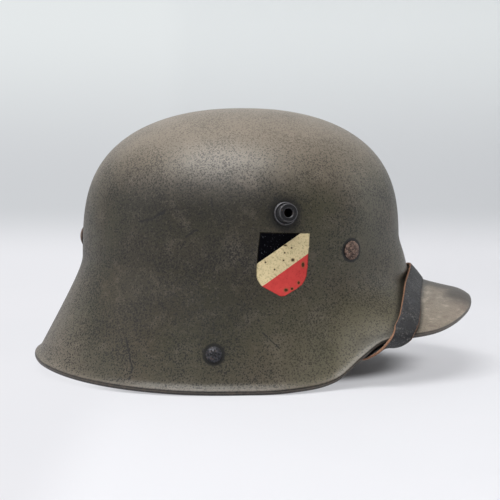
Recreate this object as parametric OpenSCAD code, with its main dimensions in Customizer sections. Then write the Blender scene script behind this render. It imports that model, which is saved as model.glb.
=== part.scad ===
// Steel helmet with a flared neck guard, a visor, two vent lugs, a sprung liner and a chin strap.
// Millimetres. +X is forward over the visor, +Y is the wearer's left, +Z is up.
// The origin lies under the middle of the helmet, on the surface that its rim rests on.

/* [Steel shell] */
// Outside length of the dome at its base
dome_length = 220.8; // [200:0.2:240]
// Outside width of the dome at its base
dome_width = 190; // [170:1:210]
// Height of the crown above the resting surface
crown_height = 180; // [160:0.2:200]
// Height at which the dome's wall ends and the skirt begins
base_height = 78.6; // [72:0.2:86]
// Thickness of the steel sheet
sheet = 1.2; // [0.8:0.1:2]
// How far the crown's centre lies in front of the dome's centre
crown_shift = 1.5; // [0:0.5:6]
// How far the wall flares out over the root of the visor
brow_flare = 4.8; // [0:0.2:7]
// Reach of the visor in front of the dome's wall
visor_reach = 50.8; // [40:0.2:60]
// Height of the visor's edge at its middle
visor_height = 46.5; // [40:0.5:52]
// Reach of the rim beyond the dome's wall at the temples
temple_reach = 14; // [11:0.5:18]
// Reach of the rim beyond the dome's wall over the ears
ear_reach = 18; // [14:0.5:24]
// Reach of the neck guard behind the dome's wall
neck_reach = 33.8; // [26:0.2:42]
// Height of the neck guard's edge at its middle
neck_height = 9; // [4:0.5:14]
// Radius of the rolled bead round the rim
bead_r = 2; // [1.6:0.1:2.5]
// Radius of the lip that turns the sheet out to the bead
lip_r = 9; // [6:0.5:12]
// Radius at which the visor bends down to its edge
visor_lip_r = 24; // [14:1:30]

/* [Vent lugs] */
// Angle of each lug round the dome, from straight ahead
lug_angle = 75; // [60:0.1:90]
// Height of each lug's centre
lug_height = 112.6; // [106:0.2:122]
// Radius of the lug's foot
lug_foot_r = 7.6; // [6.5:0.1:9]
// Thickness of the lug's foot
lug_foot_t = 2.4; // [1.5:0.1:3.5]
// Radius of the lug's neck
lug_neck_r = 4.9; // [4.4:0.1:5.5]
// Length of the lug's neck
lug_neck_l = 4.6; // [3:0.1:7]
// Radius of the lug's head
lug_head_r = 5.95; // [5.6:0.05:6.5]
// Thickness of the lug's head
lug_head_t = 2.6; // [1.5:0.1:4]
// Radius of the vent hole through the lug
vent_r = 2.85; // [2:0.05:3.2]
// Radius of the lug's shank in the steel
lug_shank_r = 4.4; // [4:0.1:5]

/* [Liner pins] */
// Angle of the two front pins round the dome
front_pin_angle = 49; // [40:0.5:60]
// Height of the front pins above the foot of the dome's wall
front_pin_rise = 9; // [6:0.2:12]
// Height of the rear pin above the foot of the dome's wall
rear_pin_rise = 12.4; // [9:0.2:14]
// Radius of a pin's head
pin_head_r = 6.4; // [5:0.1:8]
// Height of a pin's domed head
pin_head_h = 2; // [1.2:0.1:3]
// Radius of a pin's shank
pin_shank_r = 2.1; // [1.6:0.1:2.6]
// Length of a pin's bent legs
pin_leg_l = 13; // [9:0.5:17]

/* [Sprung liner] */
// Height of the outer and inner bands
band_h = 20; // [18:1:22]
// Thickness of the bands
band_t = 1; // [0.8:0.1:1.4]
// Gap between the shell and the outer band
band_gap = 1.3; // [1:0.1:1.6]
// Gap between the two bands, which the springs bridge
spring_gap = 8; // [7:0.5:10]
// Number of leaf springs
spring_count = 8; // [4:2:8]
// Width of a leaf spring
spring_w = 10; // [8:1:11]
// Thickness of the liner leather
liner_t = 1.5; // [1:0.1:2]
// Number of leather tongues
tongue_count = 8; // [6:1:9]
// Height of the tongues above the bands
tongue_h = 44; // [36:1:50]
// Radius of the drawstring
string_r = 1.1; // [0.8:0.1:1.3]

/* [Chin strap] */
// Angle of each strap lug round the dome
strap_lug_angle = 97.7; // [92:0.1:104]
// Height of each strap lug
strap_lug_height = 25; // [22:0.2:30]
// Radius of the lug rivet's head
rivet_head_r = 5.3; // [4:0.1:6.5]
// Width of the strap
strap_w = 14; // [12:0.5:16]
// Thickness of the strap leather
strap_t = 2; // [1.8:0.1:2.4]
// Radius of the lug's post, on which a hook turns
post_r = 2.6; // [2:0.1:3.2]
// Radial play of a hook on its post
post_play = 0.08; // [0.02:0.01:0.1]
// Length of a hook, from its post to its bar
hook_l = 22; // [19:1:26]
// Thickness of a hook's plate
hook_t = 1.4; // [1.2:0.1:2]
// Radius of the buckle's wire
wire_r = 1.2; // [1:0.1:1.5]
// Distance between the buckle's two bars
buckle_l = 14; // [12:1:18]
// Outside radius of the buckle's roller
roller_r = 2; // [1.8:0.1:2.6]
// Length of the short strap between hook and buckle
short_strap_l = 42; // [40:1:46]
// Length of the long strap's tip beyond the buckle
tip_l = 32; // [28:1:34]
// Travel of the keeper along the short strap
keeper_travel = 6; // [3:1:7]

/* [Hidden] */

steel = [0.33, 0.32, 0.27];
lug_steel = [0.20, 0.21, 0.24];
rusty = [0.47, 0.36, 0.32];
band_metal = [0.45, 0.46, 0.44];
tan_leather = [0.55, 0.37, 0.22];
black_leather = [0.16, 0.16, 0.17];
string_white = [0.75, 0.70, 0.60];

around = 72;
clear = 0.3;
snug = 0.1;
half_l = dome_length / 2;
half_w = dome_width / 2;
dome_x = (neck_reach - visor_reach) / 2;
plan_power = 2.2;
rise_power = 3.1;
corner = 0.82;

// Rim stations: angle, then reach beyond the dome, height, slope from the vertical, turn of the lip
// and the lip's radius
STATIONS = [
    [0, [visor_reach, visor_height, 78, -26, visor_lip_r]],
    [15, [visor_reach - 1.4, visor_height - 5.6, 74, -20, visor_lip_r]],
    [30, [visor_reach - 8.5, visor_height - 13.4, 62, -6, visor_lip_r]],
    [45, [temple_reach + 10.5, visor_height - 18.5, 42, 15, lip_r]],
    [52, [temple_reach + 6, visor_height - 27.7, 30, 24, lip_r]],
    [60, [temple_reach + 1.5, 5.2, 20, 30, lip_r]],
    [75, [ear_reach, 0.8, 14, 38, lip_r]],
    [90, [ear_reach, 0, 14, 38, lip_r]],
    [110, [ear_reach + 5.5, 0.6, 17, 36, lip_r]],
    [135, [neck_reach - 5, neck_height - 6.2, 22, 34, lip_r]],
    [160, [neck_reach - 0.5, neck_height - 2.5, 27, 33, lip_r]],
    [180, [neck_reach, neck_height, 28.5, 33, lip_r]]];
last = len(STATIONS) - 1;

function mix(a, b, t) = a + (b - a) * t;
function unit(v) = v / norm(v);
function fold(a) = abs(a - 360 * floor((a + 180) / 360));
function station(i) =
    i < 0 ? [-STATIONS[1][0], STATIONS[1][1]]
    : i > last ? [360 - STATIONS[last - 1][0], STATIONS[last - 1][1]]
    : STATIONS[i];
function span(a, i = 0) = i == last - 1 || a <= STATIONS[i + 1][0] ? i : span(a, i + 1);

// Smooth curve through the stations, the same on both sides of the helmet
function rim(a) =
    let (t = fold(a), i = span(t), r0 = station(i - 1), r1 = station(i), r2 = station(i + 1),
         r3 = station(i + 2), h = r2[0] - r1[0], u = (t - r1[0]) / h,
         m1 = (r2[1] - r0[1]) / (r2[0] - r0[0]), m2 = (r3[1] - r1[1]) / (r3[0] - r1[0]))
    (2 * u ^ 3 - 3 * u ^ 2 + 1) * r1[1] + (u ^ 3 - 2 * u ^ 2 + u) * h * m1
    + (3 * u ^ 2 - 2 * u ^ 3) * r2[1] + (u ^ 3 - u ^ 2) * h * m2;

// Skirt profile in a plane square to the dome's wall: across is outwards, along is up
function lip_end(r) = [r[0] - bead_r, r[1] + bead_r] + bead_r * [cos(r[2] + r[3]), sin(r[2] + r[3])];
function lip_start(r) =
    lip_end(r) + sign(r[3]) * r[4] * [cos(r[2] + r[3]) - cos(r[2]), sin(r[2] + r[3]) - sin(r[2])];
function skirt_corner(r) = [0, lip_start(r)[1] + lip_start(r)[0] / tan(r[2])];
function skirt_flat(r, s) =
    let (p0 = [0, base_height], p3 = lip_start(r), c = skirt_corner(r),
         p1 = mix(p0, c, corner), p2 = mix(p3, c, corner))
    (1 - s) ^ 3 * p0 + 3 * s * (1 - s) ^ 2 * p1 + 3 * s ^ 2 * (1 - s) * p2 + s ^ 3 * p3;
function skirt_lean(r, s) =
    let (d = skirt_flat(r, s + 0.002) - skirt_flat(r, s - 0.002)) atan2(d[0], -d[1]);

// Flare over the visor's root: it fades out up the dome, down to the visor and round to the temples
brow_top = base_height + 15;
brow_root = base_height - 19;
brow_end = 42;
function ease(t) = let (u = min(max(t, 0), 1)) u * u * (3 - 2 * u);
function brow(a, z) =
    brow_flare * ease((brow_top - z) / 20) * ease((z - brow_root) / 11)
    * ease((brow_end - fold(a)) / 28);

// From a profile point at an angle round the dome to its place in space
function wall_foot(a) = [dome_x + half_l * cos(a), half_w * sin(a)];
function wall_out(a) = unit([cos(a) / half_l, sin(a) / half_w]);
function in_space(a, q) =
    let (w = wall_foot(a) + wall_out(a) * (q[0] + brow(a, q[1]))) [w[0], w[1], q[1]];

function dome_point(a, f, inset = 0) =
    let (r = cos(f) ^ (2 / plan_power), lift = sin(f) ^ (2 / rise_power),
         z = base_height + (crown_height - inset - base_height) * lift, w = wall_out(a) * brow(a, z))
    [dome_x + crown_shift * lift + (half_l - inset) * r * cos(a) + w[0],
     (half_w - inset) * r * sin(a) + w[1], z];
function dome_rise(z) = asin(((z - base_height) / (crown_height - base_height)) ^ (rise_power / 2));
function dome_at(a, z) = dome_point(a, dome_rise(z));
function dome_normal(a, z) =
    unit(cross(dome_at(a + 0.5, z) - dome_at(a - 0.5, z), dome_at(a, z + 0.5) - dome_at(a, z - 0.5)));

function skirt_s(r, z, lo = 0, hi = 1, n = 16) =
    let (m = (lo + hi) / 2)
    n == 0 ? m : skirt_flat(r, m)[1] > z ? skirt_s(r, z, m, hi, n - 1) : skirt_s(r, z, lo, m, n - 1);
function skirt_point(a, s, off = 0) =
    let (r = rim(a), l = skirt_lean(r, s)) in_space(a, skirt_flat(r, s) + off * [cos(l), sin(l)]);
function skirt_normal(a, s) =
    unit(cross(skirt_point(a + 0.5, s) - skirt_point(a - 0.5, s),
               skirt_point(a, s - 0.01) - skirt_point(a, s + 0.01)));
function bead_centre(a) = let (r = rim(a)) in_space(a, [r[0] - bead_r, r[1] + bead_r]);
function bead_point(a, turn, radius) =
    let (r = rim(a), g = r[2] + r[3] - turn)
    in_space(a, [r[0] - bead_r, r[1] + bead_r] + radius * [cos(g), sin(g)]);

// One ring of the shell's section: out from the crown to the bead, round it and back inside
// The dome's rows are angles above its foot, closer together over the flare
dome_steps = 11;
dome_rows = [for (i = [1:dome_steps - 1]) 90 - 90 * i / dome_steps, 2, 0.7, 0];
skirt_steps = 7;
bead_steps = 8;
bead_wrap = 290;
function lip_point(r, t, off) =
    let (m = r[2] + r[3] * t)
    lip_start(r) + sign(r[3]) * r[4] * [cos(r[2]) - cos(m), sin(r[2]) - sin(m)]
    + off * [cos(m), sin(m)];
function shell_section(a) =
    let (r = rim(a))
    concat(
        [for (f = dome_rows) dome_point(a, f)],
        [for (i = [1:skirt_steps]) skirt_point(a, i / skirt_steps)],
        [in_space(a, lip_point(r, 0.5, 0))],
        [for (i = [0:bead_steps]) bead_point(a, bead_wrap * i / bead_steps, bead_r)],
        [in_space(a, lip_point(r, 0, -sheet))],
        [for (i = [skirt_steps - 1:-1:1]) skirt_point(a, i / skirt_steps, -sheet)],
        [for (i = [len(dome_rows) - 1:-1:0]) dome_point(a, dome_rows[i], sheet)]);

// A closed skin over rings of points, with a pole at each end of the section
module poled_skin(rings, top, bottom) {
    n = len(rings);
    m = len(rings[0]);
    points = concat([for (ring = rings) each ring], [top, bottom]);
    faces = concat(
        [for (i = [0:n - 1], j = [0:m - 2])
            let (a = i * m + j, b = ((i + 1) % n) * m + j)
            each [[a, b + 1, a + 1], [a, b, b + 1]]],
        [for (i = [0:n - 1]) let (a = i * m, b = ((i + 1) % n) * m)
            each [[n * m, b, a], [n * m + 1, a + m - 1, b + m - 1]]]);
    polyhedron(points, faces, convexity = 10);
}

// A closed ring of sections that each close on themselves
module ring_skin(rings) {
    n = len(rings);
    m = len(rings[0]);
    faces = [for (i = [0:n - 1], j = [0:m - 1])
        let (a = i * m + j, b = ((i + 1) % n) * m + j, a2 = i * m + (j + 1) % m,
             b2 = ((i + 1) % n) * m + (j + 1) % m)
        each [[a, b2, a2], [a, b, b2]]];
    polyhedron([for (ring = rings) each ring], faces, convexity = 10);
}

// A bar of flat sections with a cap at each end
module bar_skin(sections) {
    n = len(sections);
    m = len(sections[0]);
    faces = concat(
        [for (i = [0:n - 2], j = [0:m - 1])
            let (a = i * m + j, b = (i + 1) * m + j, a2 = i * m + (j + 1) % m,
                 b2 = (i + 1) * m + (j + 1) % m)
            each [[a, a2, b2], [a, b2, b]]],
        [[for (j = [m - 1:-1:0]) j], [for (j = [0:m - 1]) (n - 1) * m + j]]);
    polyhedron([for (s = sections) each s], faces, convexity = 10);
}

// Stands children up along a direction, with local X pointing down the wall
module stand(p, n) {
    translate(p) rotate([0, acos(n[2]), atan2(n[1], n[0])]) children();
}

// Sets children in a frame given by its corner and two of its axes
module set_in(p, x, z) {
    y = cross(z, x);
    multmatrix([[x[0], y[0], z[0], p[0]], [x[1], y[1], z[1], p[1]], [x[2], y[2], z[2], p[2]],
                [0, 0, 0, 1]]) children();
}

module both_sides() {
    children();
    mirror([0, 1, 0]) children();
}

// Places on the shell, all on the right-hand side, where Y is negative
front_pin_height = base_height + front_pin_rise;
rear_pin_height = base_height + rear_pin_rise;
lug_p = dome_at(-lug_angle, lug_height);
lug_n = dome_normal(-lug_angle, lug_height);
front_pin_p = dome_at(-front_pin_angle, front_pin_height);
front_pin_n = dome_normal(-front_pin_angle, front_pin_height);
rear_pin_p = dome_at(180, rear_pin_height);
rear_pin_n = dome_normal(180, rear_pin_height);
lug_s = skirt_s(rim(strap_lug_angle), strap_lug_height);
rivet_p = skirt_point(-strap_lug_angle, lug_s);
rivet_n = skirt_normal(-strap_lug_angle, lug_s);
rivet_shank_r = 2.1;

module hole_at(p, n, r) {
    stand(p, n) translate([0, 0, -10]) cylinder(r = r, h = 20, $fn = 48);
}

module shell() {
    rings = [for (i = [0:around - 1]) shell_section(360 * i / around)];
    color(steel) difference() {
        poled_skin(rings, [dome_x + crown_shift, 0, crown_height],
                   [dome_x + crown_shift, 0, crown_height - sheet]);
        both_sides() {
            hole_at(lug_p, lug_n, lug_shank_r + snug);
            hole_at(front_pin_p, front_pin_n, pin_shank_r + snug);
            hole_at(rivet_p, rivet_n, rivet_shank_r + snug);
        }
        hole_at(rear_pin_p, rear_pin_n, pin_shank_r + snug);
    }
}

// Vent lug: stepped outside, flared over the steel inside, with the vent through it
flare_r = lug_shank_r + 1.5;
flare_t = 0.8;
module vent_lug() {
    under = sheet + 2 * clear;
    foot = lug_foot_t + clear;
    neck = foot + lug_neck_l;
    color(lug_steel) stand(lug_p, lug_n) rotate_extrude($fn = 64) polygon([
        [vent_r, -under - flare_t], [flare_r, -under - flare_t], [flare_r, -under],
        [lug_shank_r, -under], [lug_shank_r, clear], [lug_foot_r, clear],
        [lug_foot_r, foot - 0.6], [lug_foot_r - 0.8, foot], [lug_neck_r + 0.8, foot],
        [lug_neck_r, foot + 0.8], [lug_neck_r, neck - 0.4], [lug_head_r, neck],
        [lug_head_r, neck + lug_head_t - 0.5], [lug_head_r - 0.5, neck + lug_head_t],
        [vent_r + 0.6, neck + lug_head_t], [vent_r, neck + lug_head_t - 0.6]]);
}

// Liner pin: domed head outside, shank through steel and band, two legs bent flat on the washer
washer_t = 0.8;
washer_r = pin_head_r + 0.6;
leg_t = 0.9;
leg_w = 4;
band_inset = sheet + band_gap;
pin_reach = band_inset + band_t + washer_t + 3 * snug + 0.3;
module liner_pin(p, n) {
    cap_r = (pin_head_r ^ 2 + pin_head_h ^ 2) / (2 * pin_head_h);
    color(rusty) stand(p, n) {
        intersection() {
            translate([0, 0, clear + pin_head_h - cap_r]) sphere(r = cap_r, $fn = 96);
            translate([0, 0, clear]) cylinder(r = pin_head_r - 0.3, h = pin_head_h, $fn = 64);
        }
        translate([0, 0, -pin_reach - leg_t / 2])
            cylinder(r = pin_shank_r, h = pin_reach + leg_t / 2 + clear + 0.4, $fn = 40);
        translate([-leg_w / 2, -pin_leg_l, -pin_reach - leg_t])
            cube([leg_w, 2 * pin_leg_l, leg_t]);
    }
}

module washer(p, n) {
    stand(p, n) translate([0, 0, -pin_reach + snug]) difference() {
        cylinder(r = washer_r, h = washer_t, $fn = 64);
        translate([0, 0, -1]) cylinder(r = pin_shank_r + snug, h = washer_t + 2, $fn = 40);
    }
}

module pin_washers() {
    color(band_metal) {
        both_sides() washer(front_pin_p, front_pin_n);
        washer(rear_pin_p, rear_pin_n);
    }
}

// Bands: ovals that run parallel to the dome's wall
band_low = (front_pin_height + rear_pin_height) / 2 - band_h / 2 - 0.25;
band_top = band_low + band_h;
band_x = dome_x + crown_shift * (band_low + band_h / 2 - base_height) / (crown_height - base_height);
function oval(inset, n = around) =
    [for (i = [0:n - 1]) let (a = 360 * i / n)
        [band_x + (half_l - inset) * cos(a), (half_w - inset) * sin(a)]];
inner_inset = band_inset + band_t + spring_gap;
module band(inset) {
    translate([0, 0, band_low]) linear_extrude(band_h) difference() {
        polygon(oval(inset));
        polygon(oval(inset + band_t));
    }
}

// Springs: bowed leaves between the bands, each with a foot at both ends that follows the band
spring_t = 0.6;
foot_l = 6;
foot_at = 12;
foot_play = 0.2;
spring_rivet_r = 1.2;
spring_head = [spring_rivet_r + 0.8, 0.7];
spring_tail = [spring_rivet_r + 0.6, 0.3];
spring_z = band_low + band_h - spring_w / 2 - 2;
function band_face(a, inset) =
    [band_x + (half_l - inset) * cos(a), (half_w - inset) * sin(a), spring_z];
function bend_r(a, inset) =
    let (l = half_l - inset, w = half_w - inset)
    ((l * sin(a)) ^ 2 + (w * cos(a)) ^ 2) ^ 1.5 / (l * w);
function spring_angle(i) = (i + 0.5) * 360 / spring_count;
function spring_bend(i) = bend_r(spring_angle(i), band_inset + band_t);
module at_spring(i) {
    a = spring_angle(i);
    n = wall_out(a);
    stand(band_face(a, band_inset + band_t), [n[0], n[1], 0]) children();
}
module at_feet(i) {
    bend = spring_bend(i);
    for (side = [-1, 1]) at_spring(i) translate([0, 0, -bend])
        rotate([side * foot_at / bend * 180 / PI, 0, 0]) translate([0, 0, bend]) children();
}
module leaf(bend) {
    turn = 180 / PI / bend;
    inner = foot_at - foot_l / 2;
    half = (bend - foot_play - spring_t / 2) * sin(inner * turn);
    ends = bend - (bend - foot_play - spring_t / 2) * cos(inner * turn);
    depth = spring_gap - 2 * clear - spring_t / 2 - ends;
    bow_r = (half ^ 2 + depth ^ 2) / (2 * depth);
    rotate([0, -90, 0]) translate([0, 0, -spring_w / 2]) linear_extrude(spring_w) {
        intersection() {
            translate([bow_r - ends - depth, 0]) difference() {
                circle(r = bow_r + spring_t / 2, $fn = 90);
                circle(r = bow_r - spring_t / 2, $fn = 90);
            }
            translate([-spring_gap, -half]) square([spring_gap - ends + 0.1, 2 * half]);
        }
        for (side = [-1, 1]) translate([-bend, 0]) rotate(side * foot_at * turn)
            translate([bend - foot_play - spring_t, -foot_l / 2]) square([spring_t, foot_l]);
    }
}

module leaf_springs() {
    color(band_metal) for (i = [0:spring_count - 1]) difference() {
        at_spring(i) leaf(spring_bend(i));
        at_feet(i) translate([0, 0, -3]) cylinder(r = spring_rivet_r + snug, h = 3, $fn = 24);
    }
}

module spring_rivets() {
    inside = foot_play + spring_t + snug;
    outside = band_t + snug;
    color(rusty) for (i = [0:spring_count - 1]) at_feet(i) {
        translate([0, 0, -inside - spring_head[1]])
            cylinder(r = spring_head[0], h = spring_head[1], $fn = 24);
        translate([0, 0, -inside - 0.1])
            cylinder(r = spring_rivet_r, h = inside + outside + 0.2, $fn = 24);
        translate([0, 0, outside]) cylinder(r = spring_tail[0], h = spring_tail[1], $fn = 24);
    }
}

module outer_band() {
    color(band_metal) difference() {
        band(band_inset);
        both_sides() hole_at(front_pin_p, front_pin_n, pin_shank_r + snug);
        hole_at(rear_pin_p, rear_pin_n, pin_shank_r + snug);
        for (i = [0:spring_count - 1]) at_feet(i) translate([0, 0, -3])
            cylinder(r = spring_rivet_r + snug, h = 6, $fn = 24);
    }
}

// Liner leather: a flap outside the inner band, a fold under it, then tongues rising to the crown
flap_h = 7.5;
tongue_tip = 66;
tongue_root = 12;
tongue_steps = 5;
steps_per_tongue = 9;
leather_out = inner_inset + band_t + snug;
leather_in = leather_out + liner_t;
tongue_z = band_top - 2;
function leather_wall(a, inset, z) =
    [band_x + (half_l - inset) * cos(a), (half_w - inset) * sin(a), z];
function tongue_point(a, f, inset, rise) =
    [band_x + (half_l - inset) * cos(f) * cos(a), (half_w - inset) * cos(f) * sin(a),
     tongue_z + rise * sin(f)];
function tongue_end(i) =
    let (e = abs(2 * (i % steps_per_tongue) / steps_per_tongue - 1))
    mix(tongue_tip, tongue_root, e ^ 4);
function leather_section(i, n) =
    let (a = 360 * i / n, f = tongue_end(i), flap = inner_inset - snug, low = band_low - snug)
    concat(
        [for (q = [[flap - liner_t, band_low + flap_h], [flap - liner_t, low - 0.2],
                   [flap - 0.5, low - liner_t], [leather_out + 0.5, low - liner_t],
                   [leather_in, low - 0.2], [leather_in, tongue_z]]) leather_wall(a, q[0], q[1])],
        [for (k = [1:tongue_steps])
            tongue_point(a, f * k / tongue_steps, leather_in, tongue_h - liner_t)],
        [for (k = [tongue_steps:-1:1])
            tongue_point(a, f * k / tongue_steps, leather_out, tongue_h)],
        [for (q = [[leather_out, tongue_z], [leather_out, low], [flap, low],
                   [flap, band_low + flap_h]]) leather_wall(a, q[0], q[1])]);

liner_rivet_r = 1.3;
liner_rivet_z = band_low + 5;
liner_head = [liner_rivet_r + 1.5, 0.9];
liner_tail = [liner_rivet_r + 0.7, 0.5];
module at_liner_rivets() {
    for (i = [0:spring_count - 1]) {
        a = i * 360 / spring_count;
        n = wall_out(a);
        p = band_face(a, inner_inset);
        stand([p[0], p[1], liner_rivet_z], [n[0], n[1], 0]) children();
    }
}
module liner_rivet_holes() {
    at_liner_rivets() translate([0, 0, -5])
        cylinder(r = liner_rivet_r + snug, h = 10, $fn = 24);
}

module inner_band() {
    color(band_metal) difference() {
        band(inner_inset);
        liner_rivet_holes();
    }
}

module liner_leather() {
    n = tongue_count * steps_per_tongue;
    color(tan_leather) difference() {
        ring_skin([for (i = [0:n - 1]) leather_section(i, n)]);
        liner_rivet_holes();
    }
}

module liner_rivets() {
    inside = band_t + liner_t + 3 * snug;
    outside = liner_t + 3 * snug;
    color(rusty) at_liner_rivets() {
        translate([0, 0, -inside - liner_head[1]])
            cylinder(r1 = liner_head[0] - 0.8, r2 = liner_head[0], h = liner_head[1], $fn = 32);
        translate([0, 0, -inside - 0.1])
            cylinder(r = liner_rivet_r, h = inside + outside + 0.2, $fn = 24);
        translate([0, 0, outside]) cylinder(r = liner_tail[0], h = liner_tail[1], $fn = 24);
    }
}

// Drawstring: a loop laid over the tongues' tips, knotted in front, with two short ends
string_at = 59;
string_lift = string_r + clear;
string_steps = 40;
knot_r = 2 * string_r + 0.2;
tail_l = 8;
tail_lean = 78;
tail_turn = 22;
function string_point(a) =
    tongue_point(a, string_at, leather_out - string_lift, tongue_h + string_lift);
function string_ring(a) =
    let (p = string_point(a), d = unit(string_point(a + 1) - string_point(a - 1)),
         up = [0, 0, 1], side = cross(up, d))
    [for (k = [0:7]) p + string_r * (cos(45 * k) * side + sin(45 * k) * up)];
module string_tail(turn) {
    rotate([0, 0, turn]) rotate([0, -tail_lean, 0]) {
        cylinder(r = string_r, h = tail_l, $fn = 16);
        translate([0, 0, tail_l]) sphere(r = string_r, $fn = 24);
    }
}

module drawstring() {
    knot = string_point(0) + [0, 0, knot_r - 0.8];
    color(string_white) {
        ring_skin([for (i = [0:string_steps - 1]) string_ring(360 * i / string_steps)]);
        translate(knot) {
            sphere(r = knot_r, $fn = 32);
            string_tail(tail_turn);
            string_tail(-tail_turn);
        }
    }
}

// Strap lugs: a rivet through the steel, a foot inside it, a post and a button that keeps the hook
foot_r = 8;
foot_t = 2.6;
foot_drop = sheet + clear + snug;
post_base_r = 3.6;
button_r = 4.2;
button_t = 1.4;
peen = 1.9;
post_in = unit([-rivet_n[0], -rivet_n[1], 0]);
forward = [post_in[1], -post_in[0], 0];
post_root = rivet_p - rivet_n * (foot_drop + foot_t / 2);
hook_stand = foot_t / 2 + 4.6;
hook_p = post_root + post_in * hook_stand;

module lug_rivet() {
    h = 2.6;
    cap_r = (rivet_head_r ^ 2 + h ^ 2) / (2 * h);
    color(lug_steel) stand(rivet_p, rivet_n) {
        intersection() {
            translate([0, 0, clear + h - cap_r]) sphere(r = cap_r, $fn = 96);
            translate([0, 0, clear]) cylinder(r = rivet_head_r - 0.2, h = h, $fn = 64);
        }
        translate([0, 0, -foot_drop - peen]) cylinder(r = rivet_shank_r, h = foot_drop + peen + 1, $fn = 40);
    }
}

module strap_lug() {
    color(lug_steel) difference() {
        union() {
            stand(rivet_p, rivet_n) translate([0, 0, -foot_drop - foot_t])
                cylinder(r = foot_r, h = foot_t, $fn = 64);
            stand(post_root, post_in) {
                cylinder(r = post_base_r, h = hook_stand - hook_t / 2 - 0.2, $fn = 48);
                cylinder(r = post_r, h = hook_stand + hook_t / 2 + 0.3, $fn = 64);
                translate([0, 0, hook_stand + hook_t / 2 + 0.2])
                    cylinder(r = button_r, h = button_t, $fn = 64);
            }
        }
        stand(rivet_p, rivet_n) translate([0, 0, -foot_drop - peen - snug])
            cylinder(r = rivet_shank_r + snug, h = 10, $fn = 40);
    }
}

// Hooks: a keyhole that drops over the button, and a bar that carries the strap
hook_w = strap_w + 2 * 4.4;
rail_w = 2.2;
key_step = 9;
neck_w = 13.6;
shoulder = 3.2;
key_r = button_r + 0.4;
bar_r = wire_r;
eye_play = 0.75;
eye_in = bar_r + eye_play;
eye_out = eye_in + strap_t;
slot_l = eye_out + 1.2;
module hook() {
    plate_end = hook_l - bar_r - slot_l;
    color(band_metal) set_in(hook_p, forward, post_in) {
        translate([0, 0, -hook_t / 2]) difference() {
            union() {
                translate([-key_step, -neck_w / 2, 0]) cube([key_step + plate_end, neck_w, hook_t]);
                translate([-key_step, 0, 0]) cylinder(r = neck_w / 2, h = hook_t, $fn = 64);
                translate([plate_end - shoulder, -hook_w / 2, 0])
                    cube([hook_l - plate_end + shoulder, hook_w, hook_t]);
            }
            translate([0, 0, -1]) cylinder(r = post_r + post_play, h = hook_t + 2, $fn = 64);
            translate([-key_step, -post_r - post_play, -1])
                cube([key_step, 2 * (post_r + post_play), hook_t + 2]);
            translate([-key_step, 0, -1]) cylinder(r = key_r, h = hook_t + 2, $fn = 64);
            translate([plate_end, rail_w - hook_w / 2, -1])
                cube([slot_l + bar_r + 1, hook_w - 2 * rail_w, hook_t + 2]);
        }
        translate([hook_l, 0, 0]) rotate([90, 0, 0])
            cylinder(r = bar_r, h = hook_w, center = true, $fn = 40);
    }
}

// Strap frame: from the hook's bar to where the strap leaves the helmet under the rim
run_start = hook_p + forward * hook_l;
exit_angle = -52;
exit_in = 15.5;
exit_p = let (b = bead_centre(exit_angle), o = wall_out(exit_angle))
    [b[0] - o[0] * exit_in, b[1] - o[1] * exit_in, run_start[2]];
run = unit(exit_p - run_start);
run_in = [-run[1], run[0], 0];
run_l = norm(exit_p - run_start);
function on_run(x, z) = run_start + run * x + run_in * z;

// Outside route of the strap, from the middle of the brow to the rim: angle, place, stand-off, tilt
BROW = [[0, 0.55, 4.1, 0.35], [-11, 0.57, 4.1, 0.32], [-22, 0.64, 3.9, 0.3],
        [-30, 0.76, 3.4, 0.2], [-36, 0.9, 2.9, 0.1], [-39.5, 1.0, 2.6, 0]];
// Then round the bead: angle, turn about the bead and radius
WRAP = [[-41.2, 30, 4.8], [-42.8, 75, 5.2], [-44.6, 125, 5.6], [-46.6, 178, 6.6], [-49, 222, 9.5]];
function brow_frame(b) =
    let (n = skirt_normal(b[0], b[1]), o = wall_out(b[0]))
    [skirt_point(b[0], b[1]) + n * b[2], unit(mix(n, [o[0], o[1], 0], b[3]))];
function wrap_frame(w) =
    let (p = bead_point(w[0], w[1], w[2])) [p, unit(p - bead_centre(w[0]))];
function mirrored(f) = [[f[0][0], -f[0][1], f[0][2]], [f[1][0], -f[1][1], f[1][2]]];
half_route = concat([for (b = BROW) brow_frame(b)], [for (w = WRAP) wrap_frame(w)],
                    [[exit_p + run_in * strap_t / 2, run_in]]);
half_n = len(half_route);

// Left-hand run through the buckle: distance from the hook's bar, height off the run, width
buckle_x = short_strap_l;
front_x = buckle_x + buckle_l;
under_roller = -(roller_r + clear + strap_t / 2);
over_eye = eye_out + clear + strap_t / 2;
over_strap = strap_t + clear + strap_t / 2;
tip_x = buckle_x - tip_l;
THREAD = [[front_x + 7, under_roller * 0.6, 1], [front_x, under_roller, 1],
          [front_x - 4.5, under_roller * 0.55, 1], [buckle_x + 5, over_eye * 0.5, 1],
          [buckle_x + 1, over_eye, 1], [buckle_x - 4.5, over_eye * 0.96, 1],
          [buckle_x - 9.5, over_strap, 1], [tip_x + 6, over_strap, 1],
          [tip_x + 2, over_strap, 0.75], [tip_x, over_strap, 0.35]];
left_run = [for (t = THREAD) [each mirrored([on_run(t[0], t[1]), run_in]), t[2]]];
strap_start = 26;
strap_route = concat(
    [[on_run(strap_start, strap_t / 2), run_in, 1],
     [on_run((strap_start + run_l) / 2, strap_t / 2), run_in, 1]],
    [for (i = [half_n - 1:-1:0]) [each half_route[i], 1]],
    [for (i = [1:half_n - 1]) [each mirrored(half_route[i]), 1]],
    left_run);
route_n = len(strap_route);
sub_steps = 3;
function route(i) = strap_route[min(max(i, 0), route_n - 1)];
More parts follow.
